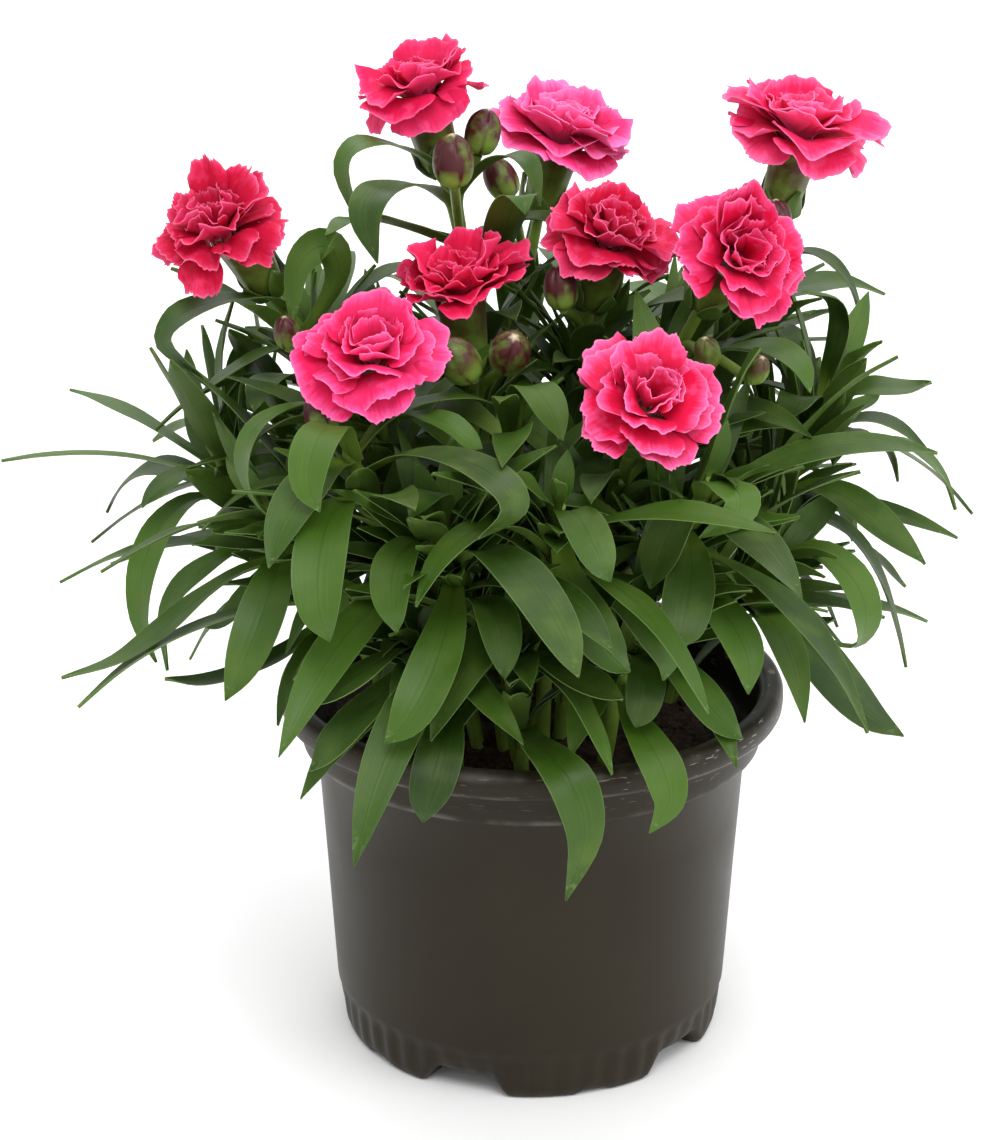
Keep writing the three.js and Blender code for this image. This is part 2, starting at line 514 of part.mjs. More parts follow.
// Grows a fan-shaped petal with a toothed edge from four corners: its lower two, then its upper two. It is
// thick along its middle and thin at its edge.
function growPetal(shell, [lowLeft, lowRight, highRight, highLeft], petal) {
  const put = (across, r, shift) => shell.ring([petalPoint(petal, across, r, shift)])[0];
  const edge = (across, r) => new Array(2).fill(put(across, r, 0));
  const inner = (across) => [1, -1].map((face) => put(across, PETAL.waist, (face * PETAL.thickness) / 2));
  const [left, right] = [[highLeft, lowLeft], [highRight, lowRight]];
  const [nearLeft, nearRight] = [inner(-0.4), inner(0.4)];
  const rim = count(7, (n) => {
    const across = n / 3 - 1;
    return edge(across, 1 - 0.16 * across * across - (n % 2) * 0.07);
  });
  const outline = [edge(-1, PETAL.waist), ...rim, edge(1, PETAL.waist)];
  const [first, last] = [outline[0], outline.at(-1)];
  const sheet = [
    [left, first, nearLeft],
    [left, nearLeft, nearRight],
    [left, nearRight, right],
    [right, nearRight, last],
    [nearLeft, rim[3], nearRight],
    ...count(4, (n) => [outline[n], outline[n + 1], nearLeft]),
    ...count(4, (n) => [outline[n + 4], outline[n + 5], nearRight]),
  ];
  for (const [a, b, c] of sheet) shell.faces.push([a[0], b[0], c[0]], [a[1], c[1], b[1]]);
  shell.faces.push([highLeft, lowLeft, first[0]], [highRight, last[0], lowRight]);
}

// A bloom's petals, grown layer by layer from the sides of a small core that stands in the calyx clear of
// its wall. Each petal is the first of its draws that crosses none before it.
function bloomSolid(bloom, index) {
  const shell = new Shell();
  const grown = [];
  const floorShare = mix(CALYX.throat, CALYX.lip, BLOOM.core / (CALYX.radius - 1.3));
  const coreFoot = CALYX.length * floorShare + BLOOM.gap - BLOOM.seat;
  let last = shell.ring(circle(ORIGIN, UPRIGHT, BLOOM.core, 5, coreFoot));
  shell.cap(last, true);
  PETAL_LAYERS.forEach(({ petals, radius, z }, row) => {
    const turn = new THREE.Matrix4().makeRotationZ(row % 2 ? PI / petals : 0);
    const ringAt = (height) =>
      circle(ORIGIN, UPRIGHT, radius, petals, height).map((point) => point.applyMatrix4(turn));
    const [lowPoints, highPoints] = [ringAt(z - PETAL.rootHeight / 2), ringAt(z + PETAL.rootHeight / 2)];
    const low = shell.extend(last, [lowPoints]);
    const high = shell.ring(highPoints);
    for (let i = 0; i < petals; i++) {
      const next = (i + 1) % petals;
      const corners = [lowPoints[i], lowPoints[next], highPoints[next], highPoints[i]];
      const draws = count(PETAL.draws, (attempt) => petalOf(bloom, index, row, i, attempt));
      const petal = draws.find((drawn) => {
        const own = new Shell();
        const root = own.ring(corners);
        own.cap(root, true);
        growPetal(own, root, drawn);
        const solid = own.solid();
        const clear = grown.every((other) => solid.intersect(other).isEmpty());
        if (clear) grown.push(solid);
        return clear;
      });
      if (!petal) throw new Error(`no clear petal for bloom ${index} layer ${row} place ${i}`);
      growPetal(shell, [low[i], low[next], high[next], high[i]], petal);
    }
    last = high;
  });
  shell.extend(last, [[new THREE.Vector3(0, 0, 7)]]);
  const { along, side, up } = axesAlong(facing(bloom.tilt, bloom.heading));
  const seat = vector(bloom.at).addScaledVector(along, BLOOM.seat - BLOOM.middle);
  return shell.solid().transform(new THREE.Matrix4().makeBasis(side, up, along).setPosition(seat).toArray());
}

// ---- Leaves ----

// Width of a strap leaf along its length, as a share of its widest.
function leafWidth(s) {
  if (s < 0.5) return mix(0.42, 1, smooth(s / 0.5));
  return s < 0.65 ? 1 : 1 - ((s - 0.65) / 0.35) ** 2.2;
}

// Points along a leaf, with the directions across its face and up from it. The face is level across the way
// that the leaf leans, then turned by its roll.
function leafLine(leaf) {
  const [root, ...others] = leaf.points;
  const lean = others.reduce((sum, p) => sum.add(p).sub(root), new THREE.Vector3());
  const level = new THREE.Vector3(-lean.y, lean.x, 0).normalize();
  const curve = new THREE.CubicBezierCurve3(...leaf.points);
  return count(LEAF.pieces + 1, (i) => {
    const s = i / LEAF.pieces;
    const along = curve.getTangent(s);
    const across = level.clone().addScaledVector(along, -level.dot(along)).normalize();
    across.applyAxisAngle(along, radians(leaf.roll));
    return { s, point: curve.getPoint(s), across, up: new THREE.Vector3().crossVectors(along, across) };
  });
}

// A leaf with a flat upper face and a keel below, as rings of three points after its root and then its tip.
function leafRings(leaf) {
  return leafLine(leaf).slice(1).map(({ s, point, across, up }) => {
    const half = (leaf.width / 2) * leafWidth(s);
    const place = (sideways, upward) =>
      point.clone().addScaledVector(across, sideways).addScaledVector(up, upward);
    return s === 1 ? [point] : [place(0, -LEAF.keel * mix(1, 0.55, s)), place(half, 0), place(-half, 0)];
  });
}

// The space that a leaf takes, with a margin all round. first leaves out that many pieces at its root.
function leafSpace(leaf, margin, first = 0) {
  const rings = leafLine(leaf).slice(first).map(({ s, point, across, up }) => {
    const half = (leaf.width / 2) * leafWidth(s) + margin;
    const place = (sideways, upward) =>
      point.clone().addScaledVector(across, sideways).addScaledVector(up, upward);
    const keel = LEAF.keel * mix(1, 0.55, s) + margin;
    const section = [place(0, -keel), place(half, 0), place(0, margin + 0.2), place(-half, 0)];
    return s === 1 ? [point] : section;
  });
  return skin(rings);
}

// A leaf moved about its root: it swings first, then lifts, then shortens.
function variant(leaf, n) {
  const { swings, lifts, cuts } = LEAF;
  const swing = radians(swings[n % swings.length] * leaf.freedom);
  const lift = radians(lifts[floor(n / swings.length) % lifts.length] * leaf.freedom);
  const share = cuts[floor(n / (swings.length * lifts.length))];
  const [root, , , tip] = leaf.points;
  const level = new THREE.Vector3(tip.y - root.y, root.x - tip.x, 0).normalize();
  const move = (point) =>
    point
      .clone()
      .sub(root)
      .applyAxisAngle(level, lift)
      .applyAxisAngle(UPRIGHT.along, swing)
      .multiplyScalar(share)
      .add(root);
  return { ...leaf, points: leaf.points.map(move) };
}

// A leaf that leaves its stem along start and arches over, losing bend degrees of slope on its way.
function archedLeaf(root, start, { bend, turn, length, width, roll }) {
  const points = [root];
  for (const s of [0.1, 0.5, 0.9]) {
    const slope = max(asin(start.z) - radians(bend) * smooth(s), radians(-72));
    const heading = atan2(start.y, start.x) + radians(turn) * s;
    const step = new THREE.Vector3(cos(slope) * cos(heading), cos(slope) * sin(heading), sin(slope));
    points.push(points.at(-1).clone().addScaledVector(step, length / 3));
  }
  return { points, width, roll, freedom: 1 };
}

// Pairs of leaves up a stem, each pair turned a quarter from the last.
function leavesOf(stem, index) {
  return count(stem.pairs * 2, (i) => {
    const [pair, n] = [floor(i / 2), i % 2];
    const draw = (use) => chance(50 + index, pair, n, use);
    const share = mix(0.4, stem.leafTop, (pair + 1) / stem.pairs);
    const { along, side, up } = axesAlong(stem.curve.getTangent(share));
    const round = radians(pair * 90 + n * 180 + 40 + (draw(0) - 0.5) * 44);
    const open = radians(mix(32, 56, draw(1)));
    const start = along
      .clone()
      .multiplyScalar(cos(open))
      .addScaledVector(side, sin(open) * cos(round))
      .addScaledVector(up, sin(open) * sin(round));
    const leaf = archedLeaf(stem.curve.getPoint(share), start, {
      bend: mix(40, 110, draw(2)),
      turn: (draw(3) - 0.5) * 40,
      roll: (draw(4) - 0.5) * 40,
      length: stem.size * mix(1, 0.7, pair / stem.pairs) * mix(62, 92, draw(5)),
      width: stem.size * mix(9.5, 13, draw(6)),
    });
    return { leaf, share };
  });
}

// ---- Growing the plant ----

const STALK = { radii: [STEM.rootRadius, STEM.topRadius] };

function flowerStem(bloom, i) {
  const axis = facing(bloom.tilt, bloom.heading);
  const foot = vector(bloom.at).addScaledVector(axis, -BLOOM.middle);
  const root = new THREE.Vector3(...bloom.root, soilTop - STEM.rootDepth);
  const curve = stemCurve(root, foot, axis);
  const stem = { ...STALK, name: `flower_stem_${i + 1}`, curve, sides: 5, nodes: [] };
  return { ...stem, end: calyxRings(foot, axis), pairs: 3, size: 0.8, leafTop: 0.8 };
}

// The shoot's root is turned about the pot's middle from below its tip.
function leafyShoot({ tip, tilt, root: spread, pairs, size }, i, turn) {
  const heading = atan2(tip[1], tip[0]);
  const [x, y] = [spread * cos(heading + turn), spread * sin(heading + turn)];
  const root = new THREE.Vector3(x, y, soilTop - STEM.rootDepth);
  const lean = facing(tilt, (heading * 180) / PI);
  const curve = stemCurve(root, vector(tip), lean);
  const stem = { ...STALK, name: `leafy_shoot_${i + 1}`, curve, sides: 4, nodes: [] };
  return { ...stem, end: [[vector(tip).addScaledVector(lean, 3)]], pairs, size, leafTop: 0.97 };
}

// A node is a short length of stem whose sides can each carry one leaf or bud stalk. These are the places
// nearest to a share of the stem's length with a free side that looks along way, and that side's corners.
function sproutPlaces(stem, share, way) {
  const length = stem.curve.getLength();
  const [gap, half] = [STEM.nodeSpacing / length, STEM.nodeHeight / 2 / length];
  const places = [];
  for (let n = 0; n < 60; n++) {
    const t = share + (n % 2 ? 1 : -1) * ceil(n / 2) * 0.25 * gap;
    const node = stem.nodes.find((other) => abs(other.t - t) < 0.13 * gap) ?? { t, sprouts: [] };
    const free = stem.nodes.every((other) => other === node || abs(other.t - node.t) >= gap);
    if (t < STEM.bareShare + 1.5 * half || t > 1 - 1.5 * half || !free) continue;
    const { side: right, up } = axesAlong(stem.curve.getTangent(node.t));
    const turn = atan2(way.dot(up), way.dot(right)) / (2 * PI);
    const side = floor((turn + 1) * stem.sides) % stem.sides;
    if (node.sprouts.some((sprout) => sprout.side === side)) continue;
    const [low, high] = [node.t - half, node.t + half].map((at) => stalkRing(stem, at));
    const next = (side + 1) % stem.sides;
    places.push({ node, side, half, corners: [low[side], low[next], high[next], high[side]] });
  }
  return places;
}

function sprout(stem, { node, side, half }, rings) {
  if (!stem.nodes.includes(node)) stem.nodes.push(node);
  node.half = half;
  node.sprouts.push({ side, rings });
}

// One closed mesh of a stem with all that grows from it.
function stemSolid(stem) {
  const shell = new Shell();
  const foot = shell.ring(stalkRing(stem, 0));
  shell.cap(foot, true);
  const far = (t) => stem.nodes.every((node) => abs(node.t - t) > 0.06);
  const plain = [STEM.bareShare, ...[0.5, 0.75].filter(far)].map((t) => ({ t }));
  const top = [...stem.nodes, ...plain].sort((a, b) => a.t - b.t).reduce((last, { t, half, sprouts }) => {
    if (!sprouts) return shell.extend(last, [stalkRing(stem, t)]);
    const low = shell.extend(last, [stalkRing(stem, t - half)]);
    const high = shell.ring(stalkRing(stem, t + half));
    shell.join(low, high, sprouts.map(({ side }) => side));
    for (const { side, rings } of sprouts) {
      const next = (side + 1) % stem.sides;
      const first = shell.ring(rings[0]);
      shell.graft([low[side], low[next], high[next], high[side]], first);
      shell.extend(first, rings.slice(1));
    }
    return high;
  }, foot);
  shell.extend(top, [stalkRing(stem, 1), ...stem.end]);
  return shell.solid();
}

// The stem that passes closest to a point, and how far up that is.
function nearestStem(point) {
  const samples = stems.flatMap((stem) =>
    count(30, (i) => {
      const share = mix(STEM.bareShare, 0.98, i / 29);
      return { stem, share, far: stem.curve.getPoint(share).distanceTo(point) };
    }),
  );
  return samples.reduce((best, next) => (next.far < best.far ? next : best));
}

// Everything placed so far, each with its node's name.
const placed = [];
const place = (node, solid) => placed.push({ node, solid, box: solid.boundingBox() });
const apart = (a, b) => [0, 1, 2].some((i) => a.min[i] > b.max[i] || b.min[i] > a.max[i]);

// Whether a solid meets nothing placed so far among the nodes that the test picks.
function isClear(solid, picks) {
  const box = solid.boundingBox();
  return placed.every((other) => {
    if (!picks(other.node) || apart(box, other.box)) return true;
    const common = solid.intersect(other.solid);
    const clear = common.isEmpty();
    common.delete();
    return clear;
  });
}

// The first variant of a leaf that is clear of the other stems, its own stem and that stem's other leaves.
function fitLeaf(leaf, name, tries) {
  const [own, ownLeaf] = [name, `${name} leaf`];
  for (let n = 0; n < tries; n++) {
    const moved = variant(leaf, n);
    const spaces = [leafSpace(moved, LEAF.clearance), leafSpace(moved, 0.1, 1), leafSpace(moved, 0.05)];
    const [wide, blade, tight] = spaces;
    const fits =
      isClear(wide, (node) => node !== own && node !== ownLeaf) &&
      isClear(blade, (node) => node === own) &&
      isClear(tight, (node) => node === ownLeaf);
    spaces.forEach((space) => space.delete());
    if (fits) return moved;
  }
  return null;
}

// Adds a leaf to its stem near a share of the stem's length, where that is clear. Slight moves at all places
// come before larger ones.
function grow(stem, share, leaf) {
  const way = leaf.points[1].clone().sub(leaf.points[0]);
  const places = sproutPlaces(stem, share, way).slice(0, LEAF.places);
  const all = LEAF.swings.length * LEAF.lifts.length * LEAF.cuts.length;
  for (const tries of [LEAF.swings.length, all]) {
    for (const spot of places) {
      const root = spot.corners.reduce((sum, p) => sum.addScaledVector(p, 0.25), new THREE.Vector3());
      const moved = fitLeaf({ ...leaf, points: [root, ...leaf.points.slice(1)] }, stem.name, tries);
      if (!moved) continue;
      sprout(stem, spot, leafRings(moved));
      place(`${stem.name} leaf`, leafSpace(moved, 0));
      return;
    }
  }
}

const pot = potSolid();
const blooms = BLOOMS.map(bloomSolid);
const stems = BLOOMS.map(flowerStem);
place("pot", pot);
blooms.forEach((petals) => place("petals", petals));
for (const stem of stems) {
  place(stem.name, skin(stalkRings(stem, 8)));
  place(stem.name, skin([stalkRing(stem, 1), ...stem.end]));
}
// A leafy shoot takes the first root that keeps it clear of the stems before it.
SHOOTS.forEach((shoot, i) => {
  const turns = count(24, (n) => (n % 2 ? 1 : -1) * ceil(n / 2) * 0.12);
  const clear = (stem) => isClear(skin(stalkRings(widened(stem, LEAF.clearance), 8)), () => true);
  const stem = turns.map((turn) => leafyShoot(shoot, i, turn)).find(clear);
  if (!stem) throw new Error(`no clear root for shoot ${i}`);
  stems.push(stem);
  place(stem.name, skin(stalkRings(stem, 8)));
});
const soil = soilSolid(stems.map(stemHole));
place("soil", soil);
for (const bud of BUDS) {
  const stem = stems[bud.on];
  const rings = budRings(bud, stem.curve);
  const way = vector(bud.at).sub(stem.curve.getPoint(bud.share));
  const [spot] = sproutPlaces(stem, bud.share, way);
  sprout(stem, spot, rings);
  place(stem.name, skin([spot.corners, ...rings]));
}
for (const { points, width, roll = 0 } of LEAVES) {
  const { stem, share } = nearestStem(vector(points[0]));
  grow(stem, share, { points: points.map(vector), width, roll, freedom: 0.5 });
}
stems.forEach((stem, index) => {
  for (const { leaf, share } of leavesOf(stem, index)) grow(stem, share, leaf);
});

// ---- The scene graph ----

const PLASTIC = new THREE.MeshStandardMaterial({ color: 0x2b2825, roughness: 0.42, metalness: 0 });
const PEAT = new THREE.MeshStandardMaterial({ color: 0x2a1712, roughness: 0.95, metalness: 0 });
const GREEN = new THREE.MeshStandardMaterial({ color: 0x3f6b2c, roughness: 0.5, metalness: 0 });
const PINK = new THREE.MeshStandardMaterial({ color: 0xe8205c, roughness: 0.6, metalness: 0 });

function meshOf(name, solid, material) {
  const { vertProperties, triVerts } = solid.getMesh();
  const geometry = new THREE.BufferGeometry();
  geometry.setAttribute("position", new THREE.BufferAttribute(vertProperties, 3));
  geometry.setIndex(new THREE.BufferAttribute(triVerts, 1));
  const mesh = new THREE.Mesh(mergeVertices(geometry, 1e-3), material);
  mesh.geometry.computeVertexNormals();
  mesh.name = name;
  return mesh;
}

const plant = new THREE.Group();
plant.add(meshOf("pot", pot, PLASTIC), meshOf("soil", soil, PEAT));
stems.forEach((stem) => {
  plant.add(meshOf(stem.name, stemSolid(stem), GREEN));
});
blooms.forEach((petals, i) => plant.add(meshOf(`petals_${i + 1}`, petals, PINK)));

export default plant;
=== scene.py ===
"""A pot carnation in flower: a moulded nursery pot, peat, strap leaves, buds and ruffled double blooms.

Leaves, stems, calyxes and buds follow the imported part's own stems. Lengths in the tables are in millimetres.
"""

import math
from random import Random

import bmesh
import bpy
from mathutils import Matrix, Vector, noise
from mathutils.bvhtree import BVHTree


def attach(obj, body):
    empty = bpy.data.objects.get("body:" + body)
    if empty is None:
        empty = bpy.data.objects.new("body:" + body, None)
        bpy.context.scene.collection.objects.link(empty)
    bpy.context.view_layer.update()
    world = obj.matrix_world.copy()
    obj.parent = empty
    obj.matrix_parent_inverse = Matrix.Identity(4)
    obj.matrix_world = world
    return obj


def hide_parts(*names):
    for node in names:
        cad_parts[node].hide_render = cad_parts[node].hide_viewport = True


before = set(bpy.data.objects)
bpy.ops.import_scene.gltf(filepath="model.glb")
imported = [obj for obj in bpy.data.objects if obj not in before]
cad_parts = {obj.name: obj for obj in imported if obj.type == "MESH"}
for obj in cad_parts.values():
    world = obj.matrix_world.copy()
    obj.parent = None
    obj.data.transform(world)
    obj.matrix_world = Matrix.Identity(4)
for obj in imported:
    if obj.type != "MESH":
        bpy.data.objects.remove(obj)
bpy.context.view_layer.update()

bl_info = {
    "name": "Pot Carnation",
    "version": (1, 0, 0),
    "blender": (4, 5, 0),
    "location": "3D View > Sidebar > Carnation",
    "description": "Builds a flowering pot carnation in its nursery pot",
    "category": "Add Mesh",
}

MM = 0.001
AXIS = 0.01  # radius of the closed ends of turned pieces, as small as a row may be

# The pot's profile as radius and height: under its foot, up its outside over the lip, and down its inside.
POT_PAD = [(AXIS, 0), (8, 0), (12.4, 0.1), (13.2, 0.6), (16, 5), (30, 5), (40.6, 5), (41.6, 4.4), (44, 0.5)]
POT_FOOT = [(44.6, 0), (51.2, 0), (52, 0.2), (53, 1.2), (53.7, 3), (54.1, 5), (54.4, 7.5), (54.7, 10.5)]
POT_WALL = [(54.9, 13), (55.4, 14.6), (55.5, 16), (56.6, 34), (57.6, 51), (58.7, 68), (59.8, 85)]
POT_BAND = [(60.6, 86.2), (63.2, 87), (63.9, 87.5), (64.1, 88.4), (64.3, 92), (64.5, 96), (65, 96.6)]
POT_LIP = [(68.6, 96.6), (69.3, 97), (69.8, 98), (70, 100), (69.9, 101.8), (69.3, 103.2), (68.2, 103.9)]
POT_INSIDE = [(66.6, 104), (64.9, 103.6), (63.8, 102.6), (63.1, 101), (62.8, 98), (62.4, 92), (62, 89)]
POT_FLOOR = [(60.4, 87.2), (58.4, 86), (58.1, 84), (56.6, 60), (54.4, 20), (52.4, 8), (49, 6.8), (AXIS, 6.6)]
POT_TOP = 104
FOOT_TOP = 15  # height that the flutes and notches stay below
FOOT_OUTSIDE = 53  # radius beyond which the foot is fluted
FOOT_INSIDE = 41.2  # radius beyond which the ring under the foot is lifted over a notch
FOOT_RING = 6  # height up to which that ring is lifted, under the pot's floor
NOTCHES = 5
NOTCH_HALF = 8  # degrees from a notch's middle to each end of its full height
NOTCH_SLOPE = 6.5  # degrees that it slopes over, past each end
KINK_PLACE = 40  # degrees from a notch to the small kink before the next one
KINK_HALF = 3  # degrees from a kink's middle to each end of its full height, and of slope past that
KINK_HEIGHT = 0.9

PEAT_RADIUS = 57.4
PEAT_EDGE = 90.4  # height of the peat at the pot's wall
PEAT_MIDDLE = 97  # height of the peat in the middle
CRUMB_RADIUS = 55.5  # radius that the loose crumbs stay inside

# Small leaves scattered along a stem and the young ones at a shoot's tip: where along the stem they are, how
# far they reach and their half widths.
LOW_LEAVES = dict(along=(0.06, 0.78), reach=(24, 54), half=(2.2, 4.4))
YOUNG_LEAVES = dict(along=(0.94, 1.0), reach=(14, 32), half=(2.2, 3.4))
CROWN = 98  # radius that small leaves stay inside
CROWN_TOP = 222  # height that small leaves stay below
POT_OPENING = 56  # radius inside which they may dip below the pot's top
RIM_CLEARANCE = 4  # from the pot's top up to the lowest small leaf outside its opening
BLOOM_CLEARANCE = 0.6  # from a bloom's middle to a small leaf, as a share of the bloom's width
BUD_CLEARANCE = 1.3  # the same for a bud

# Radii of a stem and of a bud's stalk at their feet and tops.
STEM_RADII = (2.1, 1.6)
BUD_STALK_RADII = (1.2, 1.4)
KNOT_LENGTH = 1.6  # how far a stem is swollen above and below the foot of a leaf
KNOT_SWELL = 0.3  # how much wider it is there, as a share of its width
TEETH = 5  # of a calyx and of a bud
TOOTH_ROOT = 17.5  # height in a calyx that its teeth begin at

# at: middle of the petals. tilt, heading: where the bloom faces, in degrees. size: its width. droop: how far
# its outer petals hang, in degrees. fold, full, width, ruffle: how much petals cup, how many they are, their
# widths and their ruffles, as shares of the usual. lean: how far and where to its middle leans, in degrees.
# raised: heading, slope and reach of petals that stand out, the reach as a share of the width. Headings of
# lean and raised go round the bloom's own axis. colour, edge: of petals and their margins. margin: how wide
# and pale a margin is, up to 1.
BLOOMS = [
    dict(
        at=(-31, 20, 267), tilt=17, heading=210, size=34, droop=40, fold=0.8, full=0.7, width=1.4,
        ruffle=0.5, lean=(8, 40), colour="#df1450", edge="#f75c98", margin=0.5,
        raised=[(20, 44, 0.5), (60, 60, 0.46), (330, 40, 0.46), (208, -5, 0.5)],
    ),
    dict(
        at=(9, 46, 249), tilt=19, heading=318, size=40, droop=8, fold=1.3, full=0.9, width=1.3,
        ruffle=0.5, lean=(10, 120), colour="#ef2c74", edge="#ff84c6", margin=0.8,
        raised=[(115, 46, 0.46), (70, 38, 0.46), (330, -6, 0.52), (322, -16, 0.48)],
    ),
    dict(
        at=(72, 16, 256), tilt=17, heading=318, size=43, droop=22, fold=1.0, full=0.85, width=1.1,
        ruffle=0.6, lean=(14, 140), colour="#ea1b5c", edge="#ff7ab4", margin=0.6,
        raised=[(115, 72, 0.4), (165, 34, 0.48), (185, 4, 0.56), (345, -16, 0.58)],
    ),
    dict(
        at=(-83, -15, 236), tilt=36, heading=236, size=39, droop=30, fold=0.8, full=1.0, width=0.8,
        ruffle=0.9, lean=(16, 80), colour="#c00532", edge="#e8497c", margin=0.6,
        raised=[(85, 64, 0.54), (20, 34, 0.5), (350, 20, 0.5)],
    ),
    dict(
        at=(-20, -8, 220), tilt=9, heading=220, size=38, droop=-18, fold=0.7, full=0.85, width=1.0,
        ruffle=0.75, lean=(6, 300), colour="#dc0b40", edge="#f84e8a", margin=0.45,
        raised=[(0, 10, 0.58), (185, 58, 0.5), (240, 20, 0.42), (350, 62, 0.5), (60, 66, 0.48)],
    ),
    dict(
        at=(21, -4, 232), tilt=30, heading=292, size=37, droop=18, fold=1.1, full=0.95, width=1.0,
        ruffle=0.75, lean=(12, 60), colour="#cb0535", edge="#f05a92", margin=0.6,
        raised=[(100, 60, 0.42), (330, 0, 0.52)],
    ),
    dict(
        at=(53, -32, 233), tilt=46, heading=296, size=38, droop=14, fold=1.3, full=0.9, width=1.0,
        ruffle=0.7, lean=(18, 290), colour="#d60a42", edge="#f65e9f", margin=0.7,
        raised=[(110, 56, 0.56), (150, 48, 0.54), (130, 62, 0.5), (130, 70, 0.44)],
    ),
    dict(
        at=(-41, -52, 213), tilt=38, heading=266, size=38, droop=14, fold=1.3, full=0.85, width=1.15,
        ruffle=0.65, lean=(16, 70), colour="#e81b5c", edge="#fa6bb2", margin=0.65,
        raised=[(90, 58, 0.46), (60, 44, 0.46)],
    ),
    dict(
        at=(28, -62, 203), tilt=50, heading=276, size=39, droop=8, fold=1.2, full=0.85, width=0.95,
        ruffle=0.55, lean=(14, 50), colour="#dd0a42", edge="#fa6aac", margin=0.85,
        raised=[(95, 46, 0.5), (130, 40, 0.46)],
    ),
]

# From the outer petals to the folded middle ones: how many, their slopes at the root and at the edge in
# degrees, their reach and half width as shares of the bloom's width, where their roots are, and their cup.
PETAL_ROWS = [
    dict(petals=6, slopes=(54, -4), reach=0.46, half=0.23, radius=4.0, height=-3.6, cup=0.04),
    dict(petals=6, slopes=(60, 12), reach=0.43, half=0.22, radius=3.4, height=-2.6, cup=0.08),
    dict(petals=6, slopes=(67, 32), reach=0.38, half=0.2, radius=2.7, height=-1.8, cup=0.18),
    dict(petals=5, slopes=(75, 52), reach=0.34, half=0.18, radius=2.0, height=-1.2, cup=0.3),
    dict(petals=4, slopes=(82, 70), reach=0.3, half=0.16, radius=1.2, height=-0.6, cup=0.45),
]
RAISED_ROW = 2  # the row that raised petals are like
BLOOM_SEAT = 4.6  # from the middle of the petals down to where they are rooted

# at: middle of the bud. tilt, heading: where it points. size: its width. flush: how red it is.
BUDS = [
    dict(at=(-21, 3, 249), tilt=6, heading=250, size=12, flush=1.0),
    dict(at=(-13, 20, 253), tilt=14, heading=20, size=10.5, flush=1.0),
    dict(at=(-9, 30, 238), tilt=30, heading=160, size=10, flush=0.9),
    dict(at=(64, 0, 234), tilt=6, heading=180, size=8.5, flush=1.0),
    dict(at=(-64, -22, 209), tilt=12, heading=240, size=7.5, flush=0.9),
    dict(at=(-20, -34, 205), tilt=38, heading=200, size=11.5, flush=0.7),
    dict(at=(-6, -34, 207), tilt=40, heading=285, size=11.5, flush=0.8),
    dict(at=(7, -10, 218), tilt=8, heading=180, size=10, flush=0.8),
    dict(at=(44, -34, 207), tilt=20, heading=240, size=7.5, flush=0.6),
    dict(at=(57, -36, 203), tilt=30, heading=300, size=7, flush=0.6),
    dict(at=(-54, -48, 195), tilt=24, heading=130, size=9.5, flush=1.0),
]
BUD_LENGTH = 1.36  # from a packed bud's foot to its tip, in bud widths
# Radius and height of a bud's skin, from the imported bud's foot to just under its tip, in bud widths.
BUD_SHAPE = [(0.1, 0), (0.18, 0.01), (0.3, 0.07), (0.39, 0.19), (0.44, 0.34), (0.46, 0.5), (0.455, 0.66)]
BUD_SHAPE += [(0.43, 0.8), (0.39, 0.91), (0.33, 1.0), (0.25, 1.08), (0.15, 1.15), (0.01, 1.2)]

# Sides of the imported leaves, stems and calyxes. Rings: how many points are in each ring under the tip of a
# packed leaf and bud, down to the four corners that it is rooted at.
LEAF_SIDES = 3
STEM_SIDES = 4
CALYX_SIDES = 10
LEAF_RINGS = (3, 3, 3, 3, 4)
BUD_RINGS = (6, 6, 4, 4, 4)

# place, towards, width: where a softbox is, what it faces and its size, in metres. power: in watts.
SOFTBOXES = {
    "key": dict(place=(0.1, -1.0, 1.6), towards=(0, 0, 0.15), width=0.9, power=16),
    "fill": dict(place=(1.2, -0.7, 0.8), towards=(0, 0, 0.15), width=0.9, power=7),
    "overhead": dict(place=(0, 1.5, 1.7), towards=(0, 1.3, 0), width=2.6, power=34),
}
# place: in metres. pitch: in degrees, from straight down. sensor: its width in millimetres.
CAMERA = dict(place=(-0.0087, -0.740, 0.407), pitch=69.8, sensor=36)
SMOOTH_ANGLE = 50  # degrees between faces, past which an edge stays sharp

# What the random draws start from. Each stem and each bloom adds its number.
CRUMB_SEED = 11
STEM_SEED = 100
BLOOM_SEED = 500


# ---- Small helpers ----


def linear(code):
    """A colour from its sRGB hex code as linear light, with full opacity."""
    channels = [int(code[i : i + 2], 16) / 255 for i in (1, 3, 5)]
    return tuple(c / 12.92 if c <= 0.04045 else ((c + 0.055) / 1.055) ** 2.4 for c in channels) + (1.0,)


def mix(a, b, t):
    """The value at share t of the way from a to b."""
    return a + (b - a) * t


def smooth(t):
    """Eases from 0 to 1 as t goes from 0 to 1, and stays level outside."""
    t = min(1.0, max(0.0, t))
    return t * t * (3 - 2 * t)


def facing(tilt, heading):
    """The direction that leans by tilt from upright towards heading, both in degrees."""
    lean, turn = math.radians(tilt), math.radians(heading)
    return Vector((math.sin(lean) * math.cos(turn), math.sin(lean) * math.sin(turn), math.cos(lean)))


def stand(foot, axis, turn=0.0):
    """The place of a piece that stands at foot along axis, as a matrix."""
    across = Vector((0, 1, 0)).cross(axis).normalized()
    basis = Matrix((across, axis.cross(across), axis)).transposed().to_4x4()
    return Matrix.Translation(foot) @ basis @ Matrix.Rotation(turn, 4, "Z")


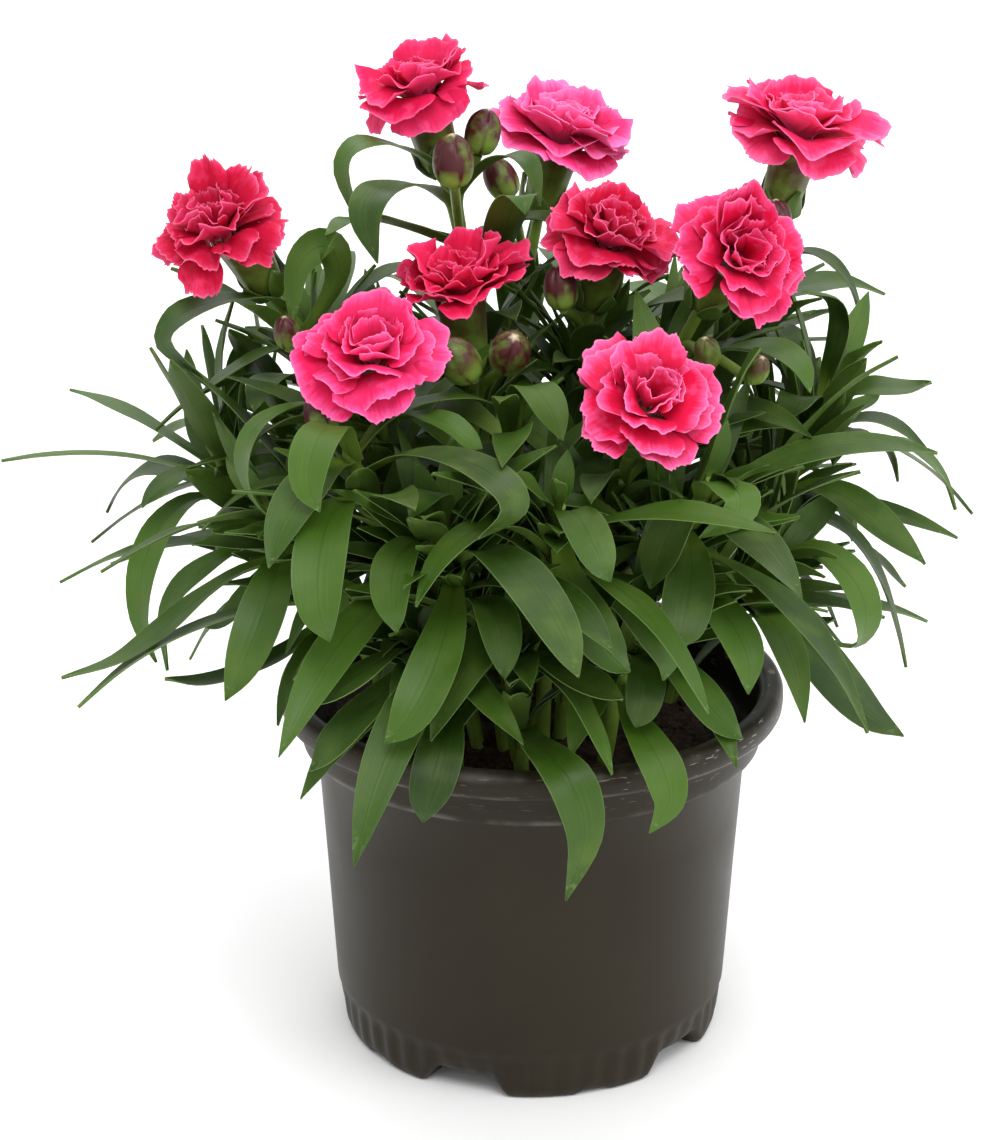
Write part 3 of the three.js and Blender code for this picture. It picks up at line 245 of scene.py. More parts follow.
def curve_point(points, t):
    """A point at share t of a smooth line through points."""
    place = min(max(t, 0.0), 1.0) * (len(points) - 1)
    i = min(int(place), len(points) - 2)
    s = place - i
    a, b = points[i], points[i + 1]
    before = points[i - 1] if i else a * 2 - b
    after = points[i + 2] if i + 2 < len(points) else b * 2 - a
    bend = 2 * before - 5 * a + 4 * b - after
    twist = 3 * a - before - 3 * b + after
    return 0.5 * (2 * a + (b - before) * s + bend * s * s + twist * s**3)


def deselect():
    """Deselects every object."""
    bpy.ops.object.select_all(action="DESELECT")


def pick(piece):
    """Makes a piece the only selected one, and the active one."""
    deselect()
    piece.select_set(True)
    bpy.context.view_layer.objects.active = piece


def named(name):
    """The object that was just made, under its name."""
    made = bpy.context.object
    made.name = made.data.name = name
    return made


def edit(action):
    """Runs an action on all of the active object in edit mode."""
    bpy.ops.object.mode_set(mode="EDIT")
    bpy.ops.mesh.select_all(action="SELECT")
    action()
    bpy.ops.object.mode_set(mode="OBJECT")


def apply_modifier(piece, kind, **settings):
    """Adds a modifier of a kind with its settings, and applies it."""
    modifier = piece.modifiers.new(kind.title(), kind)
    for key, value in settings.items():
        setattr(modifier, key, value)
    bpy.context.view_layer.objects.active = piece
    bpy.ops.object.modifier_apply(modifier=modifier.name)


def write(mesh, name, value):
    """Gives the points of a mesh a number that materials read: one number, or a function of the place."""
    attribute = mesh.attributes.get(name) or mesh.attributes.new(name, "FLOAT", "POINT")
    numbers = [value(vertex.co) if callable(value) else value for vertex in mesh.vertices]
    attribute.data.foreach_set("value", numbers)


def turned(name, rows, columns):
    """A turned piece: a circle extruded through rows of radius and height, in millimetres."""
    first_radius, first_height = rows[0]
    bpy.ops.mesh.primitive_circle_add(vertices=columns, radius=first_radius * MM, fill_type="NOTHING")
    piece = named(name)

    def extrude():
        bpy.ops.transform.translate(value=(0, 0, first_height * MM))
        for (radius, height), (new_radius, new_height) in zip(rows, rows[1:]):
            rise = (0, 0, (new_height - height) * MM)
            bpy.ops.mesh.extrude_edges_move(TRANSFORM_OT_translate={"value": rise})
            share = new_radius / radius
            bpy.ops.transform.resize(value=(share, share, 1), center_override=(0, 0, new_height * MM))
        bpy.ops.mesh.select_all(action="SELECT")
        bpy.ops.mesh.normals_make_consistent(inside=False)

    edit(extrude)
    return piece


def close_ends(piece):
    """Fills the open ends of a turned piece."""

    def fill():
        bpy.ops.mesh.select_all(action="DESELECT")
        bpy.ops.mesh.select_non_manifold()
        bpy.ops.mesh.edge_face_add()
        bpy.ops.mesh.select_all(action="SELECT")
        bpy.ops.mesh.normals_make_consistent(inside=False)

    bpy.context.view_layer.objects.active = piece
    edit(fill)


def strap(name, across, along, thickness):
    """A flat strap to lay along a line: x runs from -1 to 1 across it and y from 0 to 1 along it."""
    bpy.ops.mesh.primitive_grid_add(x_subdivisions=across, y_subdivisions=along, size=2, calc_uvs=True)
    piece = named(name)

    def set_out():
        bpy.ops.transform.resize(value=(1, 0.5, 1), center_override=(0, 0, 0))
        bpy.ops.transform.translate(value=(0, 0.5, 0))

    edit(set_out)
    apply_modifier(piece, "SOLIDIFY", thickness=thickness, offset=0.0)
    write(piece.data, "under", lambda place: float(place.z < 0))
    return piece


def laid(master, name, place):
    """A copy of a piece whose points move to place(x, y, z), a function of where they are on it."""
    piece = bpy.data.objects.new(name, master.data.copy())
    bpy.context.collection.objects.link(piece)
    for vertex in piece.data.vertices:
        vertex.co = place(*vertex.co)
    return piece


def squeeze(vertex, share):
    """Moves a point of a turned piece to a share of its distance from the axis."""
    vertex.co.x *= share
    vertex.co.y *= share


def cover(piece, material):
    """Gives all of a piece one material."""
    piece.data.materials.clear()
    piece.data.materials.append(material)


def join(name, parts):
    """Joins parts into one object with its origin at the world's."""
    deselect()
    for part in parts:
        part.select_set(True)
    bpy.context.view_layer.objects.active = parts[0]
    bpy.ops.object.join()
    return named(name)


def remove(*pieces):
    """Removes the pieces that others were copied from."""
    for piece in pieces:
        bpy.data.objects.remove(piece)


def finish_piece(piece, slot, *nodes):
    """Smooth shading, the piece's body, and its CAD nodes hidden. Its slot is not used."""
    pick(piece)
    bpy.ops.object.shade_smooth_by_angle(angle=math.radians(SMOOTH_ANGLE))
    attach(piece, "root")
    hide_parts(*nodes)
    deselect()


# ---- Materials ----

SMOOTH = dict(interpolation_type="SMOOTHSTEP")  # for a Map Range node that eases in and out


def per(millimetres):
    """The scale of a pattern whose features are this far apart."""
    return 1 / (millimetres * MM)


def node(tree, kind, sockets=(), **settings):
    """Adds a node with its settings and links.

    sockets are values for its inputs in use, or nodes or outputs that feed them: in order, or by name.
    """
    made = tree.nodes.new(kind)
    for key, value in settings.items():
        setattr(made, key, value)
    if isinstance(sockets, dict):
        pairs = [(made.inputs[key], value) for key, value in sockets.items()]
    else:
        pairs = zip([socket for socket in made.inputs if socket.enabled], sockets)
    for socket, value in pairs:
        if isinstance(value, bpy.types.Node):
            value = next(output for output in value.outputs if output.enabled)
        if isinstance(value, bpy.types.NodeSocket):
            tree.links.new(value, socket)
        else:
            socket.default_value = value
    return made


def new_material(name):
    """A material with an empty tree of nodes."""
    made = bpy.data.materials.new(name)
    made.use_nodes = True
    made.node_tree.nodes.clear()
    return made, made.node_tree


def recycled_polypropylene(look):
    """Injection-moulded recycled polypropylene: satin brown-black, rubbed paler along its edges, scuffed."""
    made, tree = new_material("recycled polypropylene, moulded")
    place = node(tree, "ShaderNodeTexCoord").outputs["Object"]
    split = node(tree, "ShaderNodeSeparateXYZ", (place,))
    x, z = split.outputs["X"], split.outputs["Z"]
    cloud = node(tree, "ShaderNodeTexNoise", {"Vector": place, "Scale": per(36), "Detail": 4.0})
    patches = node(tree, "ShaderNodeTexNoise", {"Vector": place, "Scale": per(16), "Detail": 5.0})
    # Edges at these heights, and how far from each the rubbing reaches.
    rubbed = 0.0
    for height, width in ((97.3, 1.0), (88.0, 1.4), (103.0, 2.0)):
        off = node(tree, "ShaderNodeMath", (z, height * MM), operation="SUBTRACT")
        off = node(tree, "ShaderNodeMath", (off,), operation="ABSOLUTE")
        line = node(tree, "ShaderNodeMapRange", (off, 0.0, width * MM, 1.0, 0.0), **SMOOTH)
        rubbed = node(tree, "ShaderNodeMath", (line, rubbed), operation="MAXIMUM")
    worn = node(tree, "ShaderNodeMapRange", (patches, 0.42, 0.68, 0.0, 0.35), **SMOOTH)
    rubbed = node(tree, "ShaderNodeMath", (rubbed, worn), operation="MULTIPLY")
    # Scuffs are about 5 mm long and 0.6 mm high. They lie round the rim, more of them on one side.
    stretched = node(tree, "ShaderNodeMapping", {"Vector": place, "Scale": (per(5), per(5), per(0.6))})
    marks = node(tree, "ShaderNodeTexNoise", {"Vector": stretched, "Scale": 1.0, "Detail": 3.0})
    scuffed = node(tree, "ShaderNodeMapRange", (marks, 0.62, 0.72, 0.0, 1.0), **SMOOTH)
    near_rim = node(tree, "ShaderNodeMapRange", (z, 86 * MM, 101 * MM, 0.0, 0.55), **SMOOTH)
    one_side = node(tree, "ShaderNodeMapRange", (x, -30 * MM, 50 * MM, 0.25, 1.0), **SMOOTH)
    scuffed = node(tree, "ShaderNodeMath", (scuffed, near_rim), operation="MULTIPLY")
    scuffed = node(tree, "ShaderNodeMath", (scuffed, one_side), operation="MULTIPLY")
    tints = [(cloud, look["light"]), (rubbed, look["rubbed"]), (scuffed, look["dust"])]
    body = look["dark"]
    for share, colour in tints:
        body = node(tree, "ShaderNodeMix", (share, body, colour), data_type="RGBA")
    smoothest, roughest = look["roughness"] - 0.05, look["roughness"] + 0.07
    rough = node(tree, "ShaderNodeMapRange", (cloud, 0.3, 0.7, smoothest, roughest))
    # The mould's own grain is too fine to show, so it is drawn 0.7 mm apart.
    grain = node(tree, "ShaderNodeTexNoise", {"Vector": place, "Scale": per(0.7), "Detail": 2.0})
    bump = node(tree, "ShaderNodeBump", {"Strength": 0.08, "Distance": 0.1 * MM, "Height": grain})
    skin = {
        "Base Color": body,
        "Roughness": rough,
        "IOR": 1.49,
        "Specular IOR Level": 0.2,
        "Normal": bump,
    }
    surface = node(tree, "ShaderNodeBsdfPrincipled", skin)
    node(tree, "ShaderNodeOutputMaterial", {"Surface": surface})
    return made


def damp_peat(look):
    """Screened sphagnum peat, damp: dark red-brown crumbs with paler dry fibres."""
    made, tree = new_material("sphagnum peat, screened and damp")
    place = node(tree, "ShaderNodeTexCoord").outputs["Object"]
    lumps = {"Vector": place, "Scale": per(2.4), "Detail": 6.0, "Roughness": 0.7}
    crumbs = node(tree, "ShaderNodeTexNoise", lumps)
    fibres = node(tree, "ShaderNodeTexVoronoi", {"Vector": place, "Scale": per(1.6)})
    pale = node(tree, "ShaderNodeMapRange", (crumbs, 0.35, 0.7, 0.0, 1.0), **SMOOTH)
    dry = node(tree, "ShaderNodeMapRange", (fibres, 0.55, 0.8, 0.0, 0.35), **SMOOTH)
    body = look["dark"]
    for share, colour in ((pale, look["light"]), (dry, look["fibre"])):
        body = node(tree, "ShaderNodeMix", (share, body, colour), data_type="RGBA")
    bump = node(tree, "ShaderNodeBump", {"Strength": 0.8, "Distance": 1.2 * MM, "Height": crumbs})
    skin = {
        "Base Color": body,
        "Roughness": 0.92,
        "Normal": bump,
    }
    surface = node(tree, "ShaderNodeBsdfPrincipled", skin)
    node(tree, "ShaderNodeOutputMaterial", {"Surface": surface})
    return made


def waxy_leaf(look):
    """A leaf grown under wax: satin green with fine veins along it, a paler back and a yellow-green foot."""
    made, tree = new_material("carnation leaf, grown under wax")
    coords = node(tree, "ShaderNodeTexCoord")
    place, uv = coords.outputs["Object"], coords.outputs["UV"]
    split = node(tree, "ShaderNodeSeparateXYZ", (uv,))
    u, v = split.outputs["X"], split.outputs["Y"]
    tone = node(tree, "ShaderNodeAttribute", attribute_name="tone")
    under = node(tree, "ShaderNodeAttribute", attribute_name="under")
    cloud = node(tree, "ShaderNodeTexNoise", {"Vector": place, "Scale": per(14), "Detail": 4.0})
    # A blade is about 11 mm wide and 80 mm long: veins are about 0.6 mm apart and waver over 40 mm.
    along = node(tree, "ShaderNodeMapping", {"Vector": uv, "Scale": (11 / 0.6, 80 / 40, 1)})
    veins = node(tree, "ShaderNodeTexNoise", {"Vector": along, "Scale": 1.0, "Detail": 2.0})
    waxed = node(tree, "ShaderNodeMapRange", (cloud, 0.42, 0.75, 0.0, 0.5), **SMOOTH)
    young = node(tree, "ShaderNodeMapRange", (v, 0.0, 0.26, 0.8, 0.0), **SMOOTH)
    veined = node(tree, "ShaderNodeMapRange", (veins, 0.5, 0.75, 0.0, 0.06), **SMOOTH)
    back = node(tree, "ShaderNodeMath", (under, 0.45), operation="MULTIPLY")
    off_middle = node(tree, "ShaderNodeMath", (u, 0.5), operation="SUBTRACT")
    off_middle = node(tree, "ShaderNodeMath", (off_middle,), operation="ABSOLUTE")
    midrib = node(tree, "ShaderNodeMapRange", (off_middle, 0.0, 0.03, 0.3, 0.0), **SMOOTH)
    rim = node(tree, "ShaderNodeMapRange", (off_middle, 0.478, 0.499, 0.0, 0.4), **SMOOTH)
    specks = node(tree, "ShaderNodeTexNoise", {"Vector": place, "Scale": per(1.4), "Detail": 4.0})
    scorched = node(tree, "ShaderNodeMapRange", (specks, 0.56, 0.66, 0.0, 0.5), **SMOOTH)
    at_tip = node(tree, "ShaderNodeMapRange", (v, 0.86, 1.0, 0.0, 1.0), **SMOOTH)
    scorched = node(tree, "ShaderNodeMath", (scorched, at_tip), operation="MULTIPLY")
    tints = [(tone, look["light"]), (waxed, look["wax"]), (veined, look["foot"]), (young, look["foot"])]
    tints += [(back, look["wax"]), (midrib, look["dark"]), (rim, look["rim"]), (scorched, look["rim"])]
    body = look["dark"]
    for share, colour in tints:
        body = node(tree, "ShaderNodeMix", (share, body, colour), data_type="RGBA")
    rough = node(tree, "ShaderNodeMapRange", (cloud, 0.3, 0.75, 0.4, 0.56), **SMOOTH)
    groove = node(tree, "ShaderNodeMapRange", (off_middle, 0.0, 0.05, -1.0, 0.0), **SMOOTH)
    relief = node(tree, "ShaderNodeMath", (groove, veins), operation="ADD")
    bump = node(tree, "ShaderNodeBump", {"Strength": 0.18, "Distance": 0.3 * MM, "Height": relief})
    skin = {
        "Base Color": body,
        "Roughness": rough,
        "IOR": 1.45,
        "Specular IOR Level": 0.32,
        "Subsurface Weight": 0.1,
        "Subsurface Radius": (0.4, 1.0, 0.2),
        "Subsurface Scale": 1.2 * MM,
        "Normal": bump,
    }
    surface = node(tree, "ShaderNodeBsdfPrincipled", skin)
    node(tree, "ShaderNodeOutputMaterial", {"Surface": surface})
    return made


def calyx_skin(look):
    """The smooth grown skin of a calyx, bud or stem: green, flushed maroon in places, with pale tips."""
    made, tree = new_material("calyx skin, grown smooth")
    place = node(tree, "ShaderNodeTexCoord").outputs["Object"]
    rise = node(tree, "ShaderNodeAttribute", attribute_name="rise")
    flush = node(tree, "ShaderNodeAttribute", attribute_name="flush")
    cloud = node(tree, "ShaderNodeTexNoise", {"Vector": place, "Scale": per(5), "Detail": 5.0})
    fine = node(tree, "ShaderNodeTexNoise", {"Vector": place, "Scale": per(1.1), "Detail": 3.0})
    grown = node(tree, "ShaderNodeMapRange", (rise, 0.0, 0.7, 0.0, 1.0), **SMOOTH)
    patchy = node(tree, "ShaderNodeMapRange", (cloud, 0.36, 0.56, 0.4, 1.4))
    flushed = node(tree, "ShaderNodeMath", (flush, patchy), operation="MULTIPLY", use_clamp=True)
    mottled = node(tree, "ShaderNodeMapRange", (fine, 0.5, 0.8, 0.0, 0.25), **SMOOTH)
    tipped = node(tree, "ShaderNodeMapRange", (rise, 0.94, 1.0, 0.0, 0.8), **SMOOTH)
    tints = [(grown, look["green"]), (mottled, look["pale"])]
    tints += [(flushed, look["flush"]), (tipped, look["tip"])]
    body = look["pale"]
    for share, colour in tints:
        body = node(tree, "ShaderNodeMix", (share, body, colour), data_type="RGBA")
    bump = node(tree, "ShaderNodeBump", {"Strength": 0.2, "Distance": 0.3 * MM, "Height": cloud})
    skin = {
        "Base Color": body,
        "Roughness": 0.42,
        "IOR": 1.45,
        "Specular IOR Level": 0.4,
        "Subsurface Weight": 0.1,
        "Subsurface Radius": (0.4, 1.0, 0.2),
        "Subsurface Scale": 1.5 * MM,
        "Normal": bump,
    }
    surface = node(tree, "ShaderNodeBsdfPrincipled", skin)
    node(tree, "ShaderNodeOutputMaterial", {"Surface": surface})
    return made


def velvety_petal(name, look, bloom):
    """Grown petal tissue with a velvety skin: deep at its foot and veins, paler at its margin and back."""
    made, tree = new_material(name)
    coords = node(tree, "ShaderNodeTexCoord")
    place, uv = coords.outputs["Object"], coords.outputs["UV"]
    v = node(tree, "ShaderNodeSeparateXYZ", (uv,)).outputs["Y"]
    tone = node(tree, "ShaderNodeAttribute", attribute_name="tone")
    under = node(tree, "ShaderNodeAttribute", attribute_name="under")
    cloud = node(tree, "ShaderNodeTexNoise", {"Vector": place, "Scale": per(3.5), "Detail": 4.0})
    # A petal is about 16 mm wide and 17 mm long: its veins are about 0.6 mm apart and waver over 12 mm.
    along = node(tree, "ShaderNodeMapping", {"Vector": uv, "Scale": (16 / 0.6, 17 / 12, 1)})
    veins = node(tree, "ShaderNodeTexNoise", {"Vector": along, "Scale": 1.0, "Detail": 3.0})
    # The margin fades inwards along the veins.
    shift = node(tree, "ShaderNodeMapRange", (veins, 0.3, 0.7, 0.05, -0.05))
    faded = node(tree, "ShaderNodeMath", (v, shift), operation="ADD")
    paler = node(tree, "ShaderNodeMath", (tone, 0.2), operation="MULTIPLY")
    mottled = node(tree, "ShaderNodeMapRange", (cloud, 0.5, 0.72, 0.0, 0.4), **SMOOTH)
    veined = node(tree, "ShaderNodeMapRange", (veins, 0.5, 0.72, 0.0, 0.25), **SMOOTH)
    deep = node(tree, "ShaderNodeMapRange", (v, 0.3, 0.85, 0.75, 0.0), **SMOOTH)
    claw = node(tree, "ShaderNodeMapRange", (v, 0.02, 0.14, 0.7, 0.0), **SMOOTH)
    pale = bloom["margin"]
    start = 0.88 - 0.16 * pale
    margin = node(tree, "ShaderNodeMapRange", (faded, start, 1.0, 0.0, 0.85 * pale), **SMOOTH)
    rim = node(tree, "ShaderNodeMapRange", (v, 0.95, 0.985, 0.0, 0.3 * pale), **SMOOTH)
    back = node(tree, "ShaderNodeMath", (under, 0.25), operation="MULTIPLY")
    edge = linear(bloom["edge"])
    tints = [(paler, edge), (mottled, edge), (veined, look["deep"]), (deep, look["deep"]), (back, edge)]
    tints += [(margin, edge), (rim, look["rim"]), (claw, look["claw"])]
    body = linear(bloom["colour"])
    for share, colour in tints:
        body = node(tree, "ShaderNodeMix", (share, body, colour), data_type="RGBA")
    relief = node(tree, "ShaderNodeMath", (veins, cloud), operation="ADD")
    bump = node(tree, "ShaderNodeBump", {"Strength": 0.3, "Distance": 0.3 * MM, "Height": relief})
    skin = {
        "Base Color": body,
        "Roughness": 0.62,
        "IOR": 1.36,
        "Specular IOR Level": 0.2,
        "Sheen Weight": 0.04,
        "Sheen Roughness": 0.4,
        "Sheen Tint": edge,
        "Subsurface Weight": 0.2,
        "Subsurface Radius": (1.0, 0.2, 0.35),
        "Subsurface Scale": 1.4 * MM,
        "Normal": bump,
    }
    surface = node(tree, "ShaderNodeBsdfPrincipled", skin)
    node(tree, "ShaderNodeOutputMaterial", {"Surface": surface})
    return made


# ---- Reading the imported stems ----


def rings_below(tip, seen, sizes=None):
    """Rings of points met on the way down from a tip, or None where they don't have the given sizes.

    The last ring of the given sizes belongs to the stem and isn't marked as seen. Without sizes it goes on
    down to the stem's foot.
    """
    found = []
    ring = [tip]
    passed = {tip}
    while True:
        around = dict.fromkeys(edge.other_vert(v) for v in ring for edge in v.link_edges)
        ring = [v for v in around if v not in seen and v not in passed]
        if not ring:
            break
        found.append(ring)
        if sizes and len(ring) != sizes[len(found) - 1]:
            return None
        if sizes and len(found) == len(sizes):
            break
        passed.update(ring)
    seen.update(passed)
    return [[v.co.copy() for v in ring] for ring in found]


def middle(ring):
    """The middle of a ring of points."""
    return sum(ring, Vector()) / len(ring)


def half_width(s):
    """Half width of a strap leaf at share s of its length, as a share of its widest."""
    at_root, widest_at, taper = 0.42, 0.5, 2.4
    if s < widest_at:
        return mix(at_root, 1.0, smooth(s / widest_at))
    return 1 - ((s - widest_at) / (1 - widest_at)) ** taper


def leaf_spine(tip, rings):
    """A leaf's spine from root to tip: points, directions across and up, and its greatest half width."""
    *blades, root = rings
    points, acrosses, ups, halves = [middle(root)], [], [], []
    for ring in reversed(blades):
        # The widest side of the three is the leaf's upper face, and the corner across from it its keel.
        turns = [(ring[k], ring[k - 2], ring[k - 1]) for k in range(LEAF_SIDES)]
        left, right, keel = max(turns, key=lambda turn: (turn[0] - turn[1]).length)
        across = right - left
        if acrosses and across.dot(acrosses[-1]) < 0:
            across = -across
        points.append((left + right) / 2)
        halves.append(across.length / 2)
        acrosses.append(across.normalized())
        ups.append((points[-1] - keel).normalized())
    points.append(tip)
    acrosses = [acrosses[0], *acrosses, acrosses[-1]]
    ups = [ups[0], *ups, ups[-1]]
    return points, acrosses, ups, max(halves)


def read_stem(packed, buds):
    """Leaves, buds and the line of one packed stem, read from its mesh."""
    mesh = bmesh.new()
    mesh.from_mesh(packed.data)
    bmesh.ops.remove_doubles(mesh, verts=mesh.verts, dist=1e-6)
    seen, leaves, found_buds = set(), [], []
    for vertex in [v for v in mesh.verts if len(v.link_edges) == LEAF_SIDES]:
        rings = rings_below(vertex, seen, LEAF_RINGS)
        if rings:
            leaves.append(leaf_spine(vertex.co.copy(), rings))
    for bud in buds:
        axis = facing(bud["tilt"], bud["heading"])
        point = Vector(bud["at"]) * MM + axis * (BUD_LENGTH / 2 * bud["size"] * MM)
        vertex = min(mesh.verts, key=lambda v: (v.co - point).length)
        if (vertex.co - point).length < MM:
            found_buds.append((bud, rings_below(vertex, seen, BUD_RINGS)))
    tops = [v for v in mesh.verts if len(v.link_edges) in (STEM_SIDES, CALYX_SIDES) and v not in seen]
    top = max(tops, key=lambda v: (len(v.link_edges), v.co.z))
    rings = rings_below(top, seen)
    line = [middle(ring) for ring in rings if len(ring) < CALYX_SIDES]
    if len(top.link_edges) == STEM_SIDES:
        # Without a calyx, the stem goes on to this top.
        line.insert(0, top.co.copy())
    mesh.free()
    return leaves, found_buds, line[::-1]


# ---- Sizes and colours that a user may change ----


def length(name, text, millimetres):
    """A length that a user may change. The functions below do the same for other settings."""
    return bpy.props.FloatProperty(name=name, description=text, default=millimetres * MM, unit="LENGTH")


def angle(name, text, degrees):
    turn = math.radians(degrees)
    return bpy.props.FloatProperty(name=name, description=text, default=turn, unit="ROTATION")


def shade(name, text, code):
    return bpy.props.FloatVectorProperty(
        name=name, description=text, default=linear(code), subtype="COLOR", size=4, min=0, max=1
    )


def factor(name, text, value):
    return bpy.props.FloatProperty(
        name=name, description=text, default=value, subtype="FACTOR", min=0, soft_max=1
    )


def count(name, text, value):
    return bpy.props.IntProperty(name=name, description=text, default=value, subtype="UNSIGNED", min=0)


class CarnationPot(bpy.types.PropertyGroup):
    columns: count("Columns", "Faces round the pot", 250)
    flutes: count("Flutes", "Grooves round the foot", 50)
    flute_depth: length("Flute depth", "Depth of a groove in the foot", 0.7)
    notch_height: length("Notch height", "Height of a drain notch", 6.2)
    first_notch: angle("First notch", "Heading of one drain notch", -111)
    roughness: factor("Roughness", "Roughness of the plastic", 0.4)
    dark: shade("Dark", "Darker shade of the plastic", "#1d180e")
    light: shade("Light", "Lighter shade of the plastic", "#2d2618")
    rubbed: shade("Rubbed", "Where edges are rubbed", "#8a867f")
    dust: shade("Dust", "Specks of dust on the rim", "#b9b2a6")


class CarnationSoil(bpy.types.PropertyGroup):
    lump: length("Lump", "Height of the lumps in the surface", 2.2)
    crumbs: count("Crumbs", "Loose crumbs on the surface", 420)
    crumb_size: length("Crumb size", "Widest crumb", 3.0)
    dark: shade("Dark", "Darker shade of the peat", "#1d100c")
    light: shade("Light", "Lighter shade of the peat", "#432a20")
    fibre: shade("Fibre", "Dry fibres", "#6d5340")


class CarnationLeaf(bpy.types.PropertyGroup):
    thickness: length("Thickness", "Thickness of a leaf", 0.55)
    channel: length("Channel", "Depth of a leaf's channel at its foot", 1.2)
    wave: length("Wave", "Height of the waves along a leaf's edges", 0.8)
    young_leaves: count("Young leaves", "Small leaves at a shoot's tip", 5)
    low_leaves: count("Low leaves", "Small leaves scattered along a stem", 46)
    dark: shade("Dark", "Darkest leaves", "#20370a")
    light: shade("Light", "Lightest leaves", "#416118")
    wax: shade("Wax", "Back of a leaf, and where its wax shows", "#556c2c")
    foot: shade("Foot", "Foot of a leaf, and its veins", "#7d9a36")
    rim: shade("Rim", "Edge of a leaf", "#768b52")


class CarnationCalyx(bpy.types.PropertyGroup):
    height: length("Height", "Height of a calyx", 22.6)
    tooth: length("Tooth", "Height of a calyx's teeth", 3.4)
    green: shade("Green", "Middle of a calyx", "#5c7d2a")
    pale: shade("Pale", "Foot of a calyx, and stems", "#7f9c40")
    flush: shade("Flush", "Flush of a bud", "#48171b")
    tip: shade("Tip", "Tips of teeth and buds", "#d9c9a8")


class CarnationPetal(bpy.types.PropertyGroup):
    thickness: length("Thickness", "Thickness of a petal", 0.25)
    ruffle: length("Ruffle", "Height of a petal's ruffles at its edge", 2.3)
    tooth: length("Tooth", "Depth of the teeth in a petal's edge", 1.1)
    deep: shade("Deep", "Veins and throat", "#ae0a32")
    claw: shade("Claw", "Foot of a petal", "#dd8f92")
    rim: shade("Rim", "Outermost edge of a petal", "#ffb4d4")


class CarnationStage(bpy.types.PropertyGroup):
    floor_size: length("Floor", "Width of the floor", 6000)
    floor_shade: shade("Floor shade", "Colour of the floor", "#f7f7f7")
    sky: factor("Sky", "Strength of the white surroundings", 0.85)
    light: factor("Light", "Power of the softboxes, as a share of the usual", 1.0)
    lens: length("Lens", "Focal length of the camera", 90.7)


def values(group):
    """A property group's settings by name."""
    return {key: getattr(group, key) for key in group.__annotations__}


# ---- Pot and soil ----


class CarnationAddPot(bpy.types.Operator):
    """Adds the moulded pot with its rolled lip, band, fluted foot and drain notches"""

    bl_idname = "carnation.add_pot"
    bl_label = "Pot"

    def execute(self, context):
        look = context.scene.carnation_pot
        rows = POT_PAD + POT_FOOT + POT_WALL + POT_BAND + POT_LIP + POT_INSIDE + POT_FLOOR
        pot = turned("nursery_pot", rows, look.columns)
        close_ends(pot)
        for vertex in pot.data.vertices:
            self.shape_foot(vertex, look)
        cover(pot, recycled_polypropylene(values(look)))
        finish_piece(pot, "plastic", "pot")
        return {"FINISHED"}

    def shape_foot(self, vertex, look):
        """Flutes the foot and lifts its ring over the notches, with a small kink between them."""
        x, y, z = vertex.co / MM
        radius, heading = math.hypot(x, y), math.degrees(math.atan2(y, x))
        if radius > FOOT_OUTSIDE and 1 < z < FOOT_TOP:
            groove = 0.5 - 0.5 * math.cos(math.radians(heading) * look.flutes)
            # Grooves fade out between 4 and 1 mm above the ground and between 12.5 and 14.5 mm.
            share = smooth((z - 1) / 3) * (1 - smooth((z - 12.5) / 2))
            squeeze(vertex, 1 - look.flute_depth / MM * groove * share / radius)
        on_floor = radius < FOOT_OUTSIDE and z > FOOT_RING
        if radius > FOOT_INSIDE and z < FOOT_TOP and not on_floor:
            apart = 360 / NOTCHES
            from_notch = heading - math.degrees(look.first_notch)
            off_notch = (from_notch + apart / 2) % apart - apart / 2
            off_kink = from_notch % apart - KINK_PLACE
            lift = look.notch_height / MM * (1 - smooth((abs(off_notch) - NOTCH_HALF) / NOTCH_SLOPE))
            kink = KINK_HEIGHT * (1 - smooth((abs(off_kink) - KINK_HALF) / KINK_HALF))
            share = (1 - smooth(z / (FOOT_TOP - 1))) * smooth((radius - FOOT_INSIDE) / 3)
            vertex.co.z += (lift + kink) * share * MM


def peat_level(radius):
    """Height of the peat before its lumps, heaped up towards the middle."""
    return mix(PEAT_MIDDLE, PEAT_EDGE, smooth(radius / PEAT_RADIUS))


